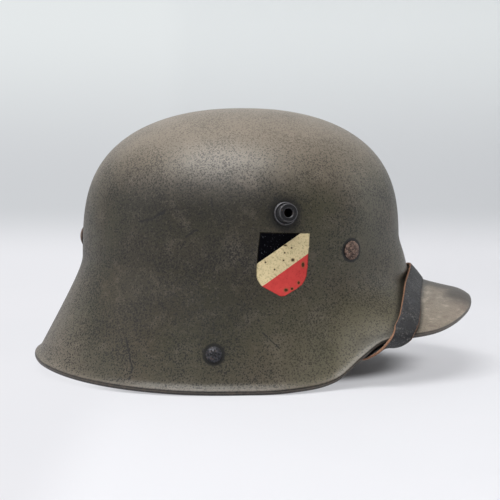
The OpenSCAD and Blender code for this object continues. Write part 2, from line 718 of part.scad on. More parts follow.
function through(i, u) =
    0.5 * (2 * route(i) + (route(i + 1) - route(i - 1)) * u
           + (2 * route(i - 1) - 5 * route(i) + 4 * route(i + 1) - route(i + 2)) * u ^ 2
           + (3 * route(i) - route(i - 1) - 3 * route(i + 1) + route(i + 2)) * u ^ 3);
function strap_section(k) =
    let (i = floor(k / sub_steps), u = k / sub_steps - i, f = through(i, u),
         d = through(i, u + 0.05)[0] - through(i, u - 0.05)[0],
         w = unit(cross(d, f[1])), n = unit(cross(w, d)), h = f[2] * strap_w / 2)
    [for (c = [[-1, -1], [1, -1], [1, 1], [-1, 1]])
        f[0] + w * h * c[0] + n * strap_t / 2 * c[1]];

// Leather folded round a bar, drawn in the plane of the run and as wide as the strap
module fold_outline(l) {
    circle(r = eye_out, $fn = 64);
    translate([0, -strap_t]) square([l, 2 * strap_t]);
}
module on_right_run() {
    set_in(run_start, run, run_in) children();
}
module on_left_run() {
    mirror([0, 1, 0]) on_right_run() children();
}
module across_strap(h) {
    rotate([90, 0, 0]) translate([0, 0, -h / 2]) linear_extrude(h) children();
}
stud_r = 1.5;
stud_head = [3.2, 1];
fold_l = 30;
right_studs = [13, 23];
left_stud = 9.5;
module stud_hole(x) {
    translate([x, 0, -10]) cylinder(r = stud_r + snug, h = 20, $fn = 32);
}
prong_slot_w = 3.8;
module prong_slot() {
    translate([buckle_x - 1, -prong_slot_w / 2, -10]) cube([10, prong_slot_w, 20]);
    for (x = [buckle_x - 1, buckle_x + 9])
        translate([x, 0, -10]) cylinder(r = prong_slot_w / 2, h = 20, $fn = 32);
}
hole_step = 7;
punched_r = 1.4;
module punched_holes() {
    for (i = [1:2]) translate([tip_x + 4 + i * hole_step, 0, 1])
        cylinder(r = punched_r, h = 10, $fn = 24);
}

module long_strap() {
    color(black_leather) {
        on_right_run() difference() {
            across_strap(strap_w) difference() {
                fold_outline(fold_l);
                circle(r = eye_in, $fn = 64);
            }
            for (x = right_studs) stud_hole(x);
        }
        difference() {
            bar_skin([for (k = [0:(route_n - 1) * sub_steps]) strap_section(k)]);
            on_left_run() {
                prong_slot();
                punched_holes();
            }
        }
    }
}

module short_strap() {
    color(black_leather) on_left_run() difference() {
        across_strap(strap_w) difference() {
            union() {
                fold_outline(buckle_x);
                translate([buckle_x, 0]) circle(r = eye_out, $fn = 64);
            }
            circle(r = eye_in, $fn = 64);
            translate([buckle_x, 0]) circle(r = wire_r + snug, $fn = 64);
        }
        stud_hole(left_stud);
        translate([buckle_x - wire_r - 1.4, -prong_w / 2 - clear, -10])
            cube([20, prong_w + 2 * clear, 20]);
    }
}

module stud(x) {
    translate([x, 0, -strap_t - snug - stud_head[1]])
        cylinder(r = stud_head[0], h = stud_head[1], $fn = 48);
    translate([x, 0, -strap_t - snug - 0.1]) cylinder(r = stud_r, h = 2 * strap_t + snug, $fn = 32);
}

module strap_studs() {
    color(band_metal) {
        on_right_run() for (x = right_studs) stud(x);
        on_left_run() stud(left_stud);
    }
}

// Buckle: a wire frame round the short strap's end, a roller on its front bar and a prong
frame_w = strap_w + 2 * 2.4;
prong_w = 3;
prong_ring = wire_r + 0.08;
prong_wire = 1.1;
prong_rise = roller_r + clear + prong_wire;
prong_foot = 1.2;
module wire(a, b) {
    d = b - a;
    translate(a) rotate([0, acos(d[2] / norm(d)), atan2(d[1], d[0])])
        cylinder(r = wire_r, h = norm(d), $fn = 40);
    for (p = [a, b]) translate(p) sphere(r = wire_r, $fn = 40);
}

module buckle_frame() {
    c = [for (q = [[0, -1], [1, -1], [1, 1], [0, 1]])
        [buckle_x + q[0] * buckle_l, q[1] * frame_w / 2, 0]];
    color(band_metal) on_left_run() for (i = [0:3]) wire(c[i], c[(i + 1) % 4]);
}

module buckle_roller() {
    l = strap_w + 1;
    color(band_metal) on_left_run() translate([front_x, l / 2, 0]) rotate([90, 0, 0])
        difference() {
            cylinder(r = roller_r, h = l, $fn = 48);
            translate([0, 0, -1]) cylinder(r = wire_r + 0.08, h = l + 2, $fn = 48);
        }
}

module buckle_prong() {
    rise = prong_rise - prong_foot;
    reach = buckle_l + 1.5;
    lean = atan2(rise, reach);
    color(band_metal) on_left_run() translate([buckle_x, 0, 0]) difference() {
        union() {
            translate([0, prong_w / 2, 0]) rotate([90, 0, 0])
                cylinder(r = prong_ring + 1, h = prong_w, $fn = 48);
            translate([0.5, 0, prong_foot]) rotate([0, 90 - lean, 0])
                cylinder(r = prong_wire, h = norm([rise, reach]) - 0.5, $fn = 32);
        }
        translate([0, prong_w, 0]) rotate([90, 0, 0])
            cylinder(r = prong_ring, h = 2 * prong_w, $fn = 48);
    }
}

// Keeper: a leather loop round both straps
keeper_l = 7;
keeper_t = 1.4;
keeper_end = buckle_x - 9.5;
keeper_x = keeper_end - keeper_l - keeper_travel;
module strap_keeper() {
    low = -strap_t - clear;
    high = over_strap + strap_t / 2 + clear;
    inner_w = strap_w + 2 * clear;
    color(black_leather) on_left_run() translate([keeper_x, 0, 0]) difference() {
        translate([0, -inner_w / 2 - keeper_t, low - keeper_t])
            cube([keeper_l, inner_w + 2 * keeper_t, high - low + 2 * keeper_t]);
        translate([-1, -inner_w / 2, low]) cube([keeper_l + 2, inner_w, high - low]);
    }
}

shell();
vent_lug();  // vent_lug_right
mirror([0, 1, 0]) vent_lug();  // vent_lug_left
liner_pin(front_pin_p, front_pin_n);  // liner_pin_right
mirror([0, 1, 0]) liner_pin(front_pin_p, front_pin_n);  // liner_pin_left
liner_pin(rear_pin_p, rear_pin_n);  // liner_pin_rear
pin_washers();
outer_band();
leaf_springs();
spring_rivets();
inner_band();
liner_leather();
liner_rivets();
drawstring();
lug_rivet();  // lug_rivet_right
mirror([0, 1, 0]) lug_rivet();  // lug_rivet_left
strap_lug();  // strap_lug_right
mirror([0, 1, 0]) strap_lug();  // strap_lug_left
hook();  // strap_hook_right
mirror([0, 1, 0]) hook();  // strap_hook_left
long_strap();
short_strap();
strap_studs();
buckle_frame();
buckle_roller();
buckle_prong();
strap_keeper();
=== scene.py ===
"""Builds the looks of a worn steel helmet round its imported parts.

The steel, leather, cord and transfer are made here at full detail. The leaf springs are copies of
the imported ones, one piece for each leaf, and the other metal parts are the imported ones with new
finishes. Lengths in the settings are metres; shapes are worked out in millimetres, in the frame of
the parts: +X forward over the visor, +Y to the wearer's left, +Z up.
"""

import functools
import math

import bmesh
import bpy
from mathutils import Matrix, Vector
from mathutils.bvhtree import BVHTree
from mathutils.kdtree import KDTree


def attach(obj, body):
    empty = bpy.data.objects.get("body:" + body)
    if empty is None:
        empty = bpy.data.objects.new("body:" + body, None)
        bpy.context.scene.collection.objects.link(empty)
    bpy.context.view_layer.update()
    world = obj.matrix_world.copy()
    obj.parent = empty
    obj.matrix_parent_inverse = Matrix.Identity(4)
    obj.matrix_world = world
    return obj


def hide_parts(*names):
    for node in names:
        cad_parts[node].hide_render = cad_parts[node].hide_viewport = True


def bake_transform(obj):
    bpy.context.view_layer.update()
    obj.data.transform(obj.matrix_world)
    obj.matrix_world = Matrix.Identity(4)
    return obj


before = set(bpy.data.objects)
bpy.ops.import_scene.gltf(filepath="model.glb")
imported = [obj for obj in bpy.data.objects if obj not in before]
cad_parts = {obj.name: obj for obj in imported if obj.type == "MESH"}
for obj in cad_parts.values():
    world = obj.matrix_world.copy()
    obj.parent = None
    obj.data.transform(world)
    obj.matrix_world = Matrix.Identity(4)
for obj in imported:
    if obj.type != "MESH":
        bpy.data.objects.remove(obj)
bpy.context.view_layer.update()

bl_info = {
    "name": "Steel Helmet",
    "version": (1, 0, 0),
    "blender": (4, 5, 0),
    "location": "View3D > Sidebar > Helmet",
    "description": "A worn steel helmet with a striped shield and a strap over its visor",
    "category": "Object",
}

MM = 0.001


def tint(red, green, blue):
    """A colour as it is seen, 0 to 255, as the linear colour that a shader takes"""
    made = []
    for part in (red, green, blue):
        c = part / 255
        made.append(c / 12.92 if c <= 0.04045 else ((c + 0.055) / 1.055) ** 2.4)
    return (*made, 1.0)


def length(name, description, default):
    return bpy.props.FloatProperty(
        name=name, description=description, default=default, min=0, unit="LENGTH", precision=4)


def colour(name, description, seen):
    return bpy.props.FloatVectorProperty(
        name=name, description=description, default=tint(*seen), size=4, min=0, max=1,
        subtype="COLOR")


class HelmetSizes(bpy.types.PropertyGroup):
    """Sizes of the pieces that are made here"""

    sheet: length("Sheet", "Thickness of the steel", 0.0012)
    bead: length("Bead", "Radius of the rolled rim", 0.002)
    strap_width: length("Strap width", "Width of the chin strap", 0.014)
    strap_leather: length("Strap leather", "Thickness of the strap", 0.002)
    liner_leather: length("Liner leather", "Thickness of the liner", 0.0015)
    tongue_rise: length("Tongue rise", "Height of the tongues above their root", 0.044)
    cord: length("Cord", "Radius of the drawstring", 0.0011)
    floor: length("Floor", "Width of the table top", 6.0)


class HelmetColours(bpy.types.PropertyGroup):
    """Colours of the helmet's finishes"""

    paint: colour("Paint", "Field paint where it is sound", (57, 54, 38))
    brown: colour("Brown", "Paint that rust has stained", (62, 54, 39))
    # Also laid on the crown, where its lightness is partly a painted highlight
    worn: colour("Worn", "Thin paint on the crown", (141, 130, 117))
    # The crest colour is worn paint, and partly a painted highlight along the rim
    crest_wear_and_highlight: colour("Crest", "Thin paint along the rolled rim", (106, 98, 87))
    speck: colour("Speck", "Dark grain in the paint", (20, 19, 16))
    black_stripe: colour("Black stripe", "Upper stripe of the shield", (2, 2, 5))
    cream_stripe: colour("Cream stripe", "Middle stripe of the shield", (216, 199, 158))
    red_stripe: colour("Red stripe", "Lower stripe of the shield", (198, 70, 67))
    strap: colour("Strap", "Face of the strap", (42, 42, 44))
    raw: colour("Raw leather", "Cut edges of the strap", (140, 102, 78))
    liner: colour("Liner", "Leather of the liner", (150, 108, 68))
    rust: colour("Rust", "Rust on pins and bands", (112, 88, 76))
    metal: colour("Metal", "Bare metal of bands and buckle", (150, 150, 146))
    lug: colour("Lug", "Dark steel of the lugs", (12, 12, 15))
    cord: colour("Cord", "Cotton of the drawstring", (196, 184, 156))
    table: colour("Table", "Top of the table", (228, 228, 232))


def sizes():
    return bpy.context.scene.helmet_sizes


def colours():
    return bpy.context.scene.helmet_colours


# Shaders

def maths(operation, reflected=False):
    """A method of a line that adds a Math node"""
    def method(self, *others):
        values = (*others, self) if reflected else (self, *others)
        return self.nodes.node("Math", {"operation": operation}, dict(enumerate(values)))

    return method


class Line:
    """A node's output that can stand in a sum"""

    def __init__(self, nodes, socket):
        self.nodes, self.socket = nodes, socket

    __add__, __radd__ = maths("ADD"), maths("ADD", reflected=True)
    __sub__, __rsub__ = maths("SUBTRACT"), maths("SUBTRACT", reflected=True)
    __mul__, __rmul__ = maths("MULTIPLY"), maths("MULTIPLY", reflected=True)
    __truediv__, __rtruediv__ = maths("DIVIDE"), maths("DIVIDE", reflected=True)
    __pow__, __rpow__ = maths("POWER"), maths("POWER", reflected=True)
    __abs__, least, most = maths("ABSOLUTE"), maths("MINIMUM"), maths("MAXIMUM")

    def step(self, low, high):
        """Rises smoothly from 0 at low to 1 at high; falls where low is above high"""
        if low > high:
            return 1 - self.step(high, low)
        return self.nodes.node("MapRange", {"interpolation_type": "SMOOTHSTEP"},
                               {0: self, 1: low, 2: high})


def highest(lines):
    """The highest of several lines at each point"""
    return functools.reduce(Line.most, lines)


class Nodes:
    """The nodes of a material or a world in the making"""

    def __init__(self, owner):
        owner.use_nodes = True
        self.tree = owner.node_tree
        self.tree.nodes.clear()

    def node(self, kind, settings=None, values=None, out=0):
        """Adds a node: its settings first, then the values or lines of its sockets"""
        made = self.tree.nodes.new("ShaderNode" + kind)
        for name, value in (settings or {}).items():
            setattr(made, name, value)
        for socket, value in (values or {}).items():
            if isinstance(value, Line):
                self.tree.links.new(value.socket, made.inputs[socket])
            else:
                made.inputs[socket].default_value = value
        return Line(self, made.outputs[out]) if made.outputs else None


class Finish(Nodes):
    """A material in the making, and the points of its surface in millimetres"""

    # Operations on vectors that give a number, which is their second output
    NUMBERS = ("DOT_PRODUCT", "LENGTH", "DISTANCE")
    # Inputs and output of a Mix node for colours
    MIX_FIRST, MIX_SECOND, MIX_RESULT = 6, 7, 2

    def __init__(self, name):
        self.material = bpy.data.materials.new(name)
        super().__init__(self.material)
        self.place = self.vector("SCALE", self.node("TexCoord", out="Object"), factor=1 / MM)
        self.base = None

    def vector(self, operation, *vectors, factor=None):
        values = dict(enumerate(vectors))
        if factor is not None:
            values["Scale"] = factor
        return self.node("VectorMath", {"operation": operation}, values,
                         out=int(operation in self.NUMBERS))

    def axes(self):
        """X, Y and Z of the surface point"""
        parts = self.node("SeparateXYZ", values={0: self.place}).socket.node
        return [Line(self, s) for s in parts.outputs]

    def noise(self, size, detail=3.0, rough=0.55, along=None, out=0, swirl=0.0):
        """Soft noise whose lumps are about size millimetres across"""
        return self.node("TexNoise", values={
            "Vector": along or self.place, "Scale": 1.0 / size, "Detail": detail,
            "Roughness": rough, "Distortion": swirl}, out=out)

    def cells(self, size, feature="F1"):
        """Distance from the middle of cells about size millimetres across"""
        return self.node("TexVoronoi", {"feature": feature},
                         {"Vector": self.place, "Scale": 1.0 / size})

    def mark(self, name):
        """A number that the mesh holds at each of its points"""
        return self.node("Attribute", {"attribute_name": name}, out="Fac")

    def mix(self, share, first, second):
        values = {0: share, self.MIX_FIRST: first, self.MIX_SECOND: second}
        return self.node("Mix", {"data_type": "RGBA"}, values, out=self.MIX_RESULT)

    def coat(self, share, colour):
        """Lays a colour over the base colour, as much as share says"""
        self.base = self.mix(share, self.base, colour)

    def offset(self, point, axis):
        """Distance along an axis and away from it, of the surface point from a line"""
        away = self.vector("SUBTRACT", self.place, tuple(point))
        along = self.vector("DOT_PRODUCT", away, tuple(axis))
        full = self.vector("LENGTH", away)
        return along, (full * full - along * along).most(0.0) ** 0.5

    def near_segment(self, start, end, shake=3.0):
        """Distance of the surface point, seen from the side, from a shaken line"""
        shaken = self.vector("SCALE", self.noise(6, 3, 0.6, out="Color"), factor=shake)
        flat = self.vector("MULTIPLY", self.vector("ADD", self.place, shaken), (1.0, 0.0, 1.0))
        a, b = (Vector((x + shake / 2, 0, z + shake / 2)) for x, z in (start, end))
        run = b - a
        away = self.vector("SUBTRACT", flat, tuple(a))
        part = self.vector("DOT_PRODUCT", away, tuple(run / run.length_squared))
        part = part.most(0.0).least(1.0)
        return self.vector("DISTANCE", away, self.vector("SCALE", tuple(run), factor=part))

    def shader(self, rough, metal=0.0, bumps=(), specular=0.5):
        """The main shader; bumps are pairs of a height from 0 to 1 and its depth in millimetres"""
        values = {"Base Color": self.base, "Roughness": rough, "Metallic": metal,
                  "Specular IOR Level": specular}
        for height, depth in bumps:
            bump = {"Height": height, "Strength": 1.0, "Distance": depth * MM}
            if "Normal" in values:
                bump["Normal"] = values["Normal"]
            values["Normal"] = self.node("Bump", values=bump)
        return self.node("BsdfPrincipled", values=values)

    def surface(self, shader):
        """The finished material"""
        self.node("OutputMaterial", values={"Surface": shader})
        return self.material

    def done(self, *values, **more):
        return self.surface(self.shader(*values, **more))


# The steel's shape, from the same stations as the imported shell

HALF_L, HALF_W = 110.4, 95.0
CROWN, WALL_END = 180.0, 78.6
CROWN_SHIFT = 1.5
DOME_X = -8.5
PLAN_POWER, RISE_POWER = 2.2, 3.1
CORNER = 0.82
# The lean over the visor's root: how far, its top, its foot and the angle where it ends, and how
# softly it comes in from each of the three
FLARE, FLARE_TOP, FLARE_ROOT, FLARE_END = 4.8, 93.6, 59.6, 42
SOFT_TOP, SOFT_ROOT, SOFT_END = 20, 11, 28
# Angle, then reach, height, slope, turn of the lip and its radius
STATIONS = (
    (0, (50.8, 46.5, 78, -26, 24)), (15, (49.4, 40.9, 74, -20, 24)),
    (30, (42.3, 33.1, 62, -6, 24)), (45, (24.5, 28.0, 42, 15, 9)),
    (52, (20.0, 18.8, 30, 24, 9)), (60, (15.5, 5.2, 20, 30, 9)),
    (75, (18.0, 0.8, 14, 38, 9)), (90, (18.0, 0.0, 14, 38, 9)),
    (110, (23.5, 0.6, 17, 36, 9)), (135, (28.8, 2.8, 22, 34, 9)),
    (160, (33.3, 6.5, 27, 33, 9)), (180, (33.8, 9.0, 28.5, 33, 9)))
LUG_POINT, LUG_OUT = Vector((20.1335, -90.3401, 112.6)), Vector((0.222703, -0.965869, 0.132291))
FRONT_PIN = Vector((64.044, -71.68, 87.6))
REAR_PIN = Vector((-118.642, 0, 91.0))
RIVET = Vector((-24.620, -105.558, 25.0))
RIVET_OUT = Vector((0.003676, -0.967598, 0.252471))
BAND_X, BAND_LOW, BAND_TOP = -8.345, 79.05, 99.05


def sind(a):
    return math.sin(math.radians(a))


def cosd(a):
    return math.cos(math.radians(a))


def mixed(a, b, t):
    return a + (b - a) * t


def ease(t):
    t = min(max(t, 0.0), 1.0)
    return t * t * (3 - 2 * t)


def from_front(angle):
    """An angle round the dome, measured from the front on either side"""
    return abs(angle - 360 * math.floor((angle + 180) / 360))


def flare(angle, z):
    """How far the wall leans out over the root of the visor"""
    return (FLARE * ease((FLARE_TOP - z) / SOFT_TOP) * ease((z - FLARE_ROOT) / SOFT_ROOT)
            * ease((FLARE_END - from_front(angle)) / SOFT_END))


def station(i):
    """One of the stations, or its mirror image past the front or the back"""
    last = len(STATIONS) - 1
    if i < 0:
        return -STATIONS[1][0], STATIONS[1][1]
    if i > last:
        return 360 - STATIONS[last - 1][0], STATIONS[last - 1][1]
    return STATIONS[i]


def rim(angle):
    """Reach, height, slope, turn and lip radius of the rim at an angle round the dome"""
    t = from_front(angle)
    i = 0
    while i < len(STATIONS) - 2 and t > STATIONS[i + 1][0]:
        i += 1
    r0, r1, r2, r3 = (station(i + k) for k in (-1, 0, 1, 2))
    h = r2[0] - r1[0]
    u = (t - r1[0]) / h
    made = []
    for a, b, c, d in zip(r0[1], r1[1], r2[1], r3[1]):
        m1 = (c - a) / (r2[0] - r0[0])
        m2 = (d - b) / (r3[0] - r1[0])
        made.append((2 * u**3 - 3 * u**2 + 1) * b + (u**3 - 2 * u**2 + u) * h * m1
                    + (3 * u**2 - 2 * u**3) * c + (u**3 - u**2) * h * m2)
    return made


class Rib:
    """The section of the steel at one angle round the dome"""

    # How far apart the points are that give the skirt's lean
    NEAR = 0.002

    def __init__(self, angle, bead):
        self.angle, self.bead = angle, bead
        self.reach, self.low, self.slope, self.turn, lip = rim(angle)
        self.lip = math.copysign(lip, self.turn)
        c, s = cosd(angle), sind(angle)
        self.foot = (DOME_X + HALF_L * c, HALF_W * s)
        self.out = Vector((c / HALF_L, s / HALF_W)).normalized()
        a, b = self.slope + self.turn, self.slope
        end = self.around(a, bead)
        self.start = (end[0] + self.lip * (cosd(a) - cosd(b)),
                      end[1] + self.lip * (sind(a) - sind(b)))
        corner = (0, self.start[1] + self.start[0] / math.tan(math.radians(self.slope)))
        top = (0, WALL_END)
        self.hull = [top, [mixed(top[k], corner[k], CORNER) for k in (0, 1)],
                     [mixed(self.start[k], corner[k], CORNER) for k in (0, 1)], self.start]

    def around(self, way, radius):
        return (self.reach - self.bead + radius * cosd(way),
                self.low + self.bead + radius * sind(way))

    def place(self, across, up):
        """A point of the section, from its distance out and its height"""
        across += flare(self.angle, up)
        return Vector((self.foot[0] + self.out.x * across, self.foot[1] + self.out.y * across, up))

    def dome(self, f, inset=0.0):
        """A point of the dome, f degrees up"""
        r = cosd(f) ** (2 / PLAN_POWER) if f < 90 else 0.0
        lift = sind(f) ** (2 / RISE_POWER)
        z = WALL_END + (CROWN - inset - WALL_END) * lift
        lean = self.out * flare(self.angle, z)
        x = DOME_X + CROWN_SHIFT * lift + (HALF_L - inset) * r * cosd(self.angle)
        return Vector((x + lean.x, (HALF_W - inset) * r * sind(self.angle) + lean.y, z))

    def flat(self, s):
        w = ((1 - s) ** 3, 3 * s * (1 - s) ** 2, 3 * s * s * (1 - s), s**3)
        return [sum(w[k] * self.hull[k][j] for k in range(4)) for j in (0, 1)]

    def lean(self, s):
        a, b = self.flat(s + self.NEAR), self.flat(s - self.NEAR)
        return math.degrees(math.atan2(a[0] - b[0], b[1] - a[1]))

    def skirt(self, s, off=0.0):
        p, lean = self.flat(s), self.lean(s)
        return self.place(p[0] + off * cosd(lean), p[1] + off * sind(lean))

    def lip_point(self, t, off=0.0):
        way = self.slope + self.turn * t
        return self.place(
            self.start[0] + self.lip * (cosd(self.slope) - cosd(way)) + off * cosd(way),
            self.start[1] + self.lip * (sind(self.slope) - sind(way)) + off * sind(way))

    def bead_point(self, turned, radius=None):
        return self.place(*self.around(self.slope + self.turn - turned, radius or self.bead))


def new_piece(name, points, faces, body, finish, marks=None, smooth=True):
    """A mesh piece from points in millimetres, riding on a body of the helmet if one is named"""
    mesh = bpy.data.meshes.new(name)
    mesh.from_pydata([tuple(Vector(p) * MM) for p in points], [], faces)
    for mark, values in (marks or {}).items():
        mesh.attributes.new(mark, "FLOAT", "POINT").data.foreach_set("value", values)
    tidy = bmesh.new()
    tidy.from_mesh(mesh)
    bmesh.ops.recalc_face_normals(tidy, faces=tidy.faces)
    tidy.to_mesh(mesh)
    tidy.free()
    mesh.polygons.foreach_set("use_smooth", [smooth] * len(mesh.polygons))
    piece = bpy.data.objects.new(name, mesh)
    bpy.context.scene.collection.objects.link(piece)
    piece.data.materials.append(finish)
    if body:
        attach(piece, body)
    return piece


def loop_faces(rings, size, closed_rings=True, closed_size=False):
    """Quads between rings of points"""
    faces = []
    for i in range(rings if closed_rings else rings - 1):
        for j in range(size if closed_size else size - 1):
            a, b = i * size + j, ((i + 1) % rings) * size + j
            a2, b2 = i * size + (j + 1) % size, ((i + 1) % rings) * size + (j + 1) % size
            faces.append((a, b, b2, a2))
    return faces


def cap_faces(rings, size):
    """The two ends of a run of closed rings"""
    return [tuple(range(size)), tuple((rings - 1) * size + k for k in range(size))]


def cut_with(piece, cutters, sides=40):
    """Takes rods, given by foot, direction, radius and length in millimetres, out of a piece"""
    for foot, way, radius, far in cutters:
        made = bmesh.new()
        turn = Vector(way).to_track_quat("Z", "Y").to_matrix().to_4x4()
        spot = Matrix.Translation((Vector(foot) + Vector(way) * far / 2) * MM) @ turn
        bmesh.ops.create_cone(made, cap_ends=True, segments=sides, radius1=radius * MM,
                              radius2=radius * MM, depth=far * MM, matrix=spot)
        mesh = bpy.data.meshes.new("rod")
        made.to_mesh(mesh)
        made.free()
        rod = bpy.data.objects.new("rod", mesh)
        bpy.context.scene.collection.objects.link(rod)
        cut = piece.modifiers.new("cut", "BOOLEAN")
        cut.operation, cut.solver, cut.object = "DIFFERENCE", "EXACT", rod
        graph = bpy.context.evaluated_depsgraph_get()
        left = bpy.data.meshes.new_from_object(piece.evaluated_get(graph))
        piece.modifiers.clear()
        piece.data = left
        bpy.data.objects.remove(rod)


def mirrored(v):
    """A point or a direction on the other side of the helmet"""
    return Vector((v[0], -v[1], v[2]))


SIDES = (("right", Vector), ("left", mirrored))


# Finishes

# From, to and width of each scratch, seen from the right side
SCRATCHES = (((-72.9, 106.5), (-65.5, 108.6), 0.9), ((-65.5, 108.6), (-56.2, 113.6), 1.2),
             ((-42.8, 97.6), (-35.9, 102.6), 0.9), ((-46.0, 90.0), (-43.4, 95.0), 0.6),
             ((-81.3, 33.0), (-76.8, 14.4), 0.75), ((-76.8, 14.4), (-78.0, 8.0), 0.75),
             ((6.4, 38.0), (16.6, 28.4), 0.6), ((-26.7, 122.5), (-25.4, 117.6), 0.8))
# Middle of each fitting, where the painted shade round it starts and is full, and how much there is
SHADE_ROUND_FITTINGS = ((LUG_POINT, 14, 7.8, 0.8), (FRONT_PIN, 8.6, 7.1, 1.4), (REAR_PIN, 8.6, 7.1, 1.4),
          (RIVET, 8.0, 6.4, 1.0))
# A point on the edge between two stripes of the shield, and how much the edge climbs
UPPER_EDGE, LOWER_EDGE = (2.32, 81.11, 0.679), (5.65, 66.71, 0.685)
# Middle, width and height of each chip in the shield
CHIPS = ((31.9, 79.9, 0.9, 1.6), (29.1, 68.5, 0.8, 1.0), (24.8, 64.9, 0.9, 0.8),
         (21.0, 64.2, 1.2, 1.0), (25.3, 83.2, 1.0, 0.9), (24.5, 90.9, 0.5, 0.5),
         (20.1, 87.9, 0.5, 0.5), (19.4, 83.1, 0.5, 0.5), (7.9, 82.0, 0.5, 0.5),
         (13.7, 77.4, 0.5, 0.5), (20.5, 92.6, 1.0, 0.5))


def field_paint():
    """Satin field paint on rolled steel, worn at the crown, the rim and the visor; painted
    highlight on the crown and the rim's crest, and painted shade on the middle of the sides, round
    the fittings, beside the strap, on the bead and along the visor's edge
    """
    look, c = Finish("field_paint"), colours()
    x, y, z = look.axes()
    lip, within = look.mark("lip"), look.mark("within")
    right = look.node("CombineXYZ", values={0: x, 1: 0 - abs(y), 2: z})
    broad = look.noise(55, 3, 0.6)
    blotch = look.noise(14, 4, 0.65, swirl=0.6)
    grain = look.noise(1.1, 4, 0.75)
    look.base = look.mix(broad.step(0.40, 0.62) * 0.8, c.paint[:], c.brown[:])
    # Lighter towards the crown: worn paint, and partly a painted highlight; the dark grain fades
    # there as well
    high = z.step(114, 168)
    visor = x.step(96, 118)
    drawn = look.vector("MULTIPLY", look.place, (0.5, 0.5, 1.6))
    streaks = look.noise(4.5, 4, 0.75, along=drawn)
    front = x.step(-30, 60) * z.step(80, 20) * 0.38 + x.step(-10, 100) * 0.12
    skirt = x.step(-95, -135) * 0.32 + lip.step(0.3, 0.85) * 0.18
    # Painted shade: a darker patch over the middle of the sides, which holds down the top lamp's
    # highlight there
    painted_shade_patch = x.step(-112, -70) * x.step(50, 0) * z.step(20, 60) * z.step(150, 130)
    look.coat(painted_shade_patch * (0.55 + 0.35 * z.step(100, 120)), tint(36, 33, 24))
    look.coat(front, tint(124, 119, 99))
    wear_and_highlight = high * 0.75 + blotch.step(0.5, 0.78) * 0.2 + visor * 0.75 + skirt
    look.coat(wear_and_highlight.least(1.0), c.worn[:])
    clump = (look.noise(24, 3, 0.6) - 0.5) * 0.22
    dark = (grain + clump).step(0.54, 0.57) * 0.95
    dots = look.cells(1.75) * 1.75 + (grain - 0.5) * 1.1 - clump * 2.4
    dark = dark.most(dots.step(0.58, 0.40) * 0.95) * (1 - 0.5 * high) * (1 - 0.75 * visor)
    dark = dark * (1 - 0.7 * front)
    look.coat(dark.least(1.0), c.speck[:])
    pale = look.noise(1.4, 3, 0.75).step(0.57, 0.64)
    look.coat(pale * (0.15 + 0.2 * high), c.worn[:])
    look.coat(visor * x.step(126, 148) * 0.4, tint(124, 104, 92))
    look.coat(streaks.step(0.5, 0.62) * visor * 0.5, tint(176, 164, 148))
    look.coat(streaks.step(0.46, 0.36) * visor * 0.35, tint(98, 82, 74))
    lines = highest(look.near_segment(start, end).step(width, width * 0.3)
                    for start, end, width in SCRATCHES)
    lines = lines * y.step(-20, -30) * look.noise(2.5).step(0.3, 0.45)
    look.coat(lines * 0.9, tint(20, 20, 19))
    # Painted shade round the fittings and beside the strap
    soil_and_shade = look.mark("strap").step(11.5, 7.2) * z.step(14, 44) * 0.7
    for point, wide, narrow, share in SHADE_ROUND_FITTINGS:
        gap = look.vector("DISTANCE", right, tuple(point))
        soil_and_shade = soil_and_shade.most(gap.step(wide, narrow) * share)
    look.coat((soil_and_shade * (0.65 + 0.6 * blotch)).least(1.0), tint(9, 8, 7))
    # The rolled rim: a light crest, worn paint with a painted highlight on it, above a dark mottled
    # bead whose dark is painted shade
    crest_wear_and_highlight = lip.step(0.78, 0.83) * lip.step(0.895, 0.86) * (1 - 0.8 * visor)
    crest_wear_and_highlight = crest_wear_and_highlight * (0.2 + 0.5 * look.noise(4, 4, 0.7).step(0.35, 0.6))
    look.coat(crest_wear_and_highlight, c.crest_wear_and_highlight[:])
    rust = look.noise(2.4, 4, 0.7).step(0.45, 0.62)
    # Painted shade: a dark band along the visor's edge and over its far part
    visor_edge_shade = visor * (lip.step(0.4, 0.56) * y.step(-46, -22)).most(
        y.step(-22, -9) * y.step(40, 20))
    look.coat(visor_edge_shade * 0.85, tint(48, 42, 37))
    # The bead: painted shade under the roll, mottled with rust, and greyer on the visor
    bead_shade_and_rust = look.mix(rust * 0.2, tint(20, 19, 19), c.rust[:])
    bead_shade_and_rust = look.mix(visor * 0.6, bead_shade_and_rust, tint(78, 73, 69))
    # A thin painted highlight along the bead
    line = lip.step(0.925, 0.94) * lip.step(0.972, 0.955)
    bead_shade_and_rust = look.mix(line * 0.25, bead_shade_and_rust, c.worn[:])
    look.coat(lip.step(0.865, 0.905) * 0.9, bead_shade_and_rust)
    # Inside the shell
    inner = look.mix(look.noise(18, 5, 0.7).step(0.4, 0.7), tint(74, 70, 60), tint(88, 70, 55))
    inner = look.mix(grain.step(0.5, 0.65) * 0.5, inner, tint(36, 32, 28))
    look.coat(within, inner)
    rough = (0.36 + 0.14 * blotch + 0.14 * dark + lines * 0.1 + within * 0.15).least(0.9)
    pits = look.noise(1.3, 3, 0.75)
    return look.done(rough, bumps=((look.noise(9, 3, 0.5), 0.22), (pits, 0.09),
                                          (1 - lines, 0.05)))


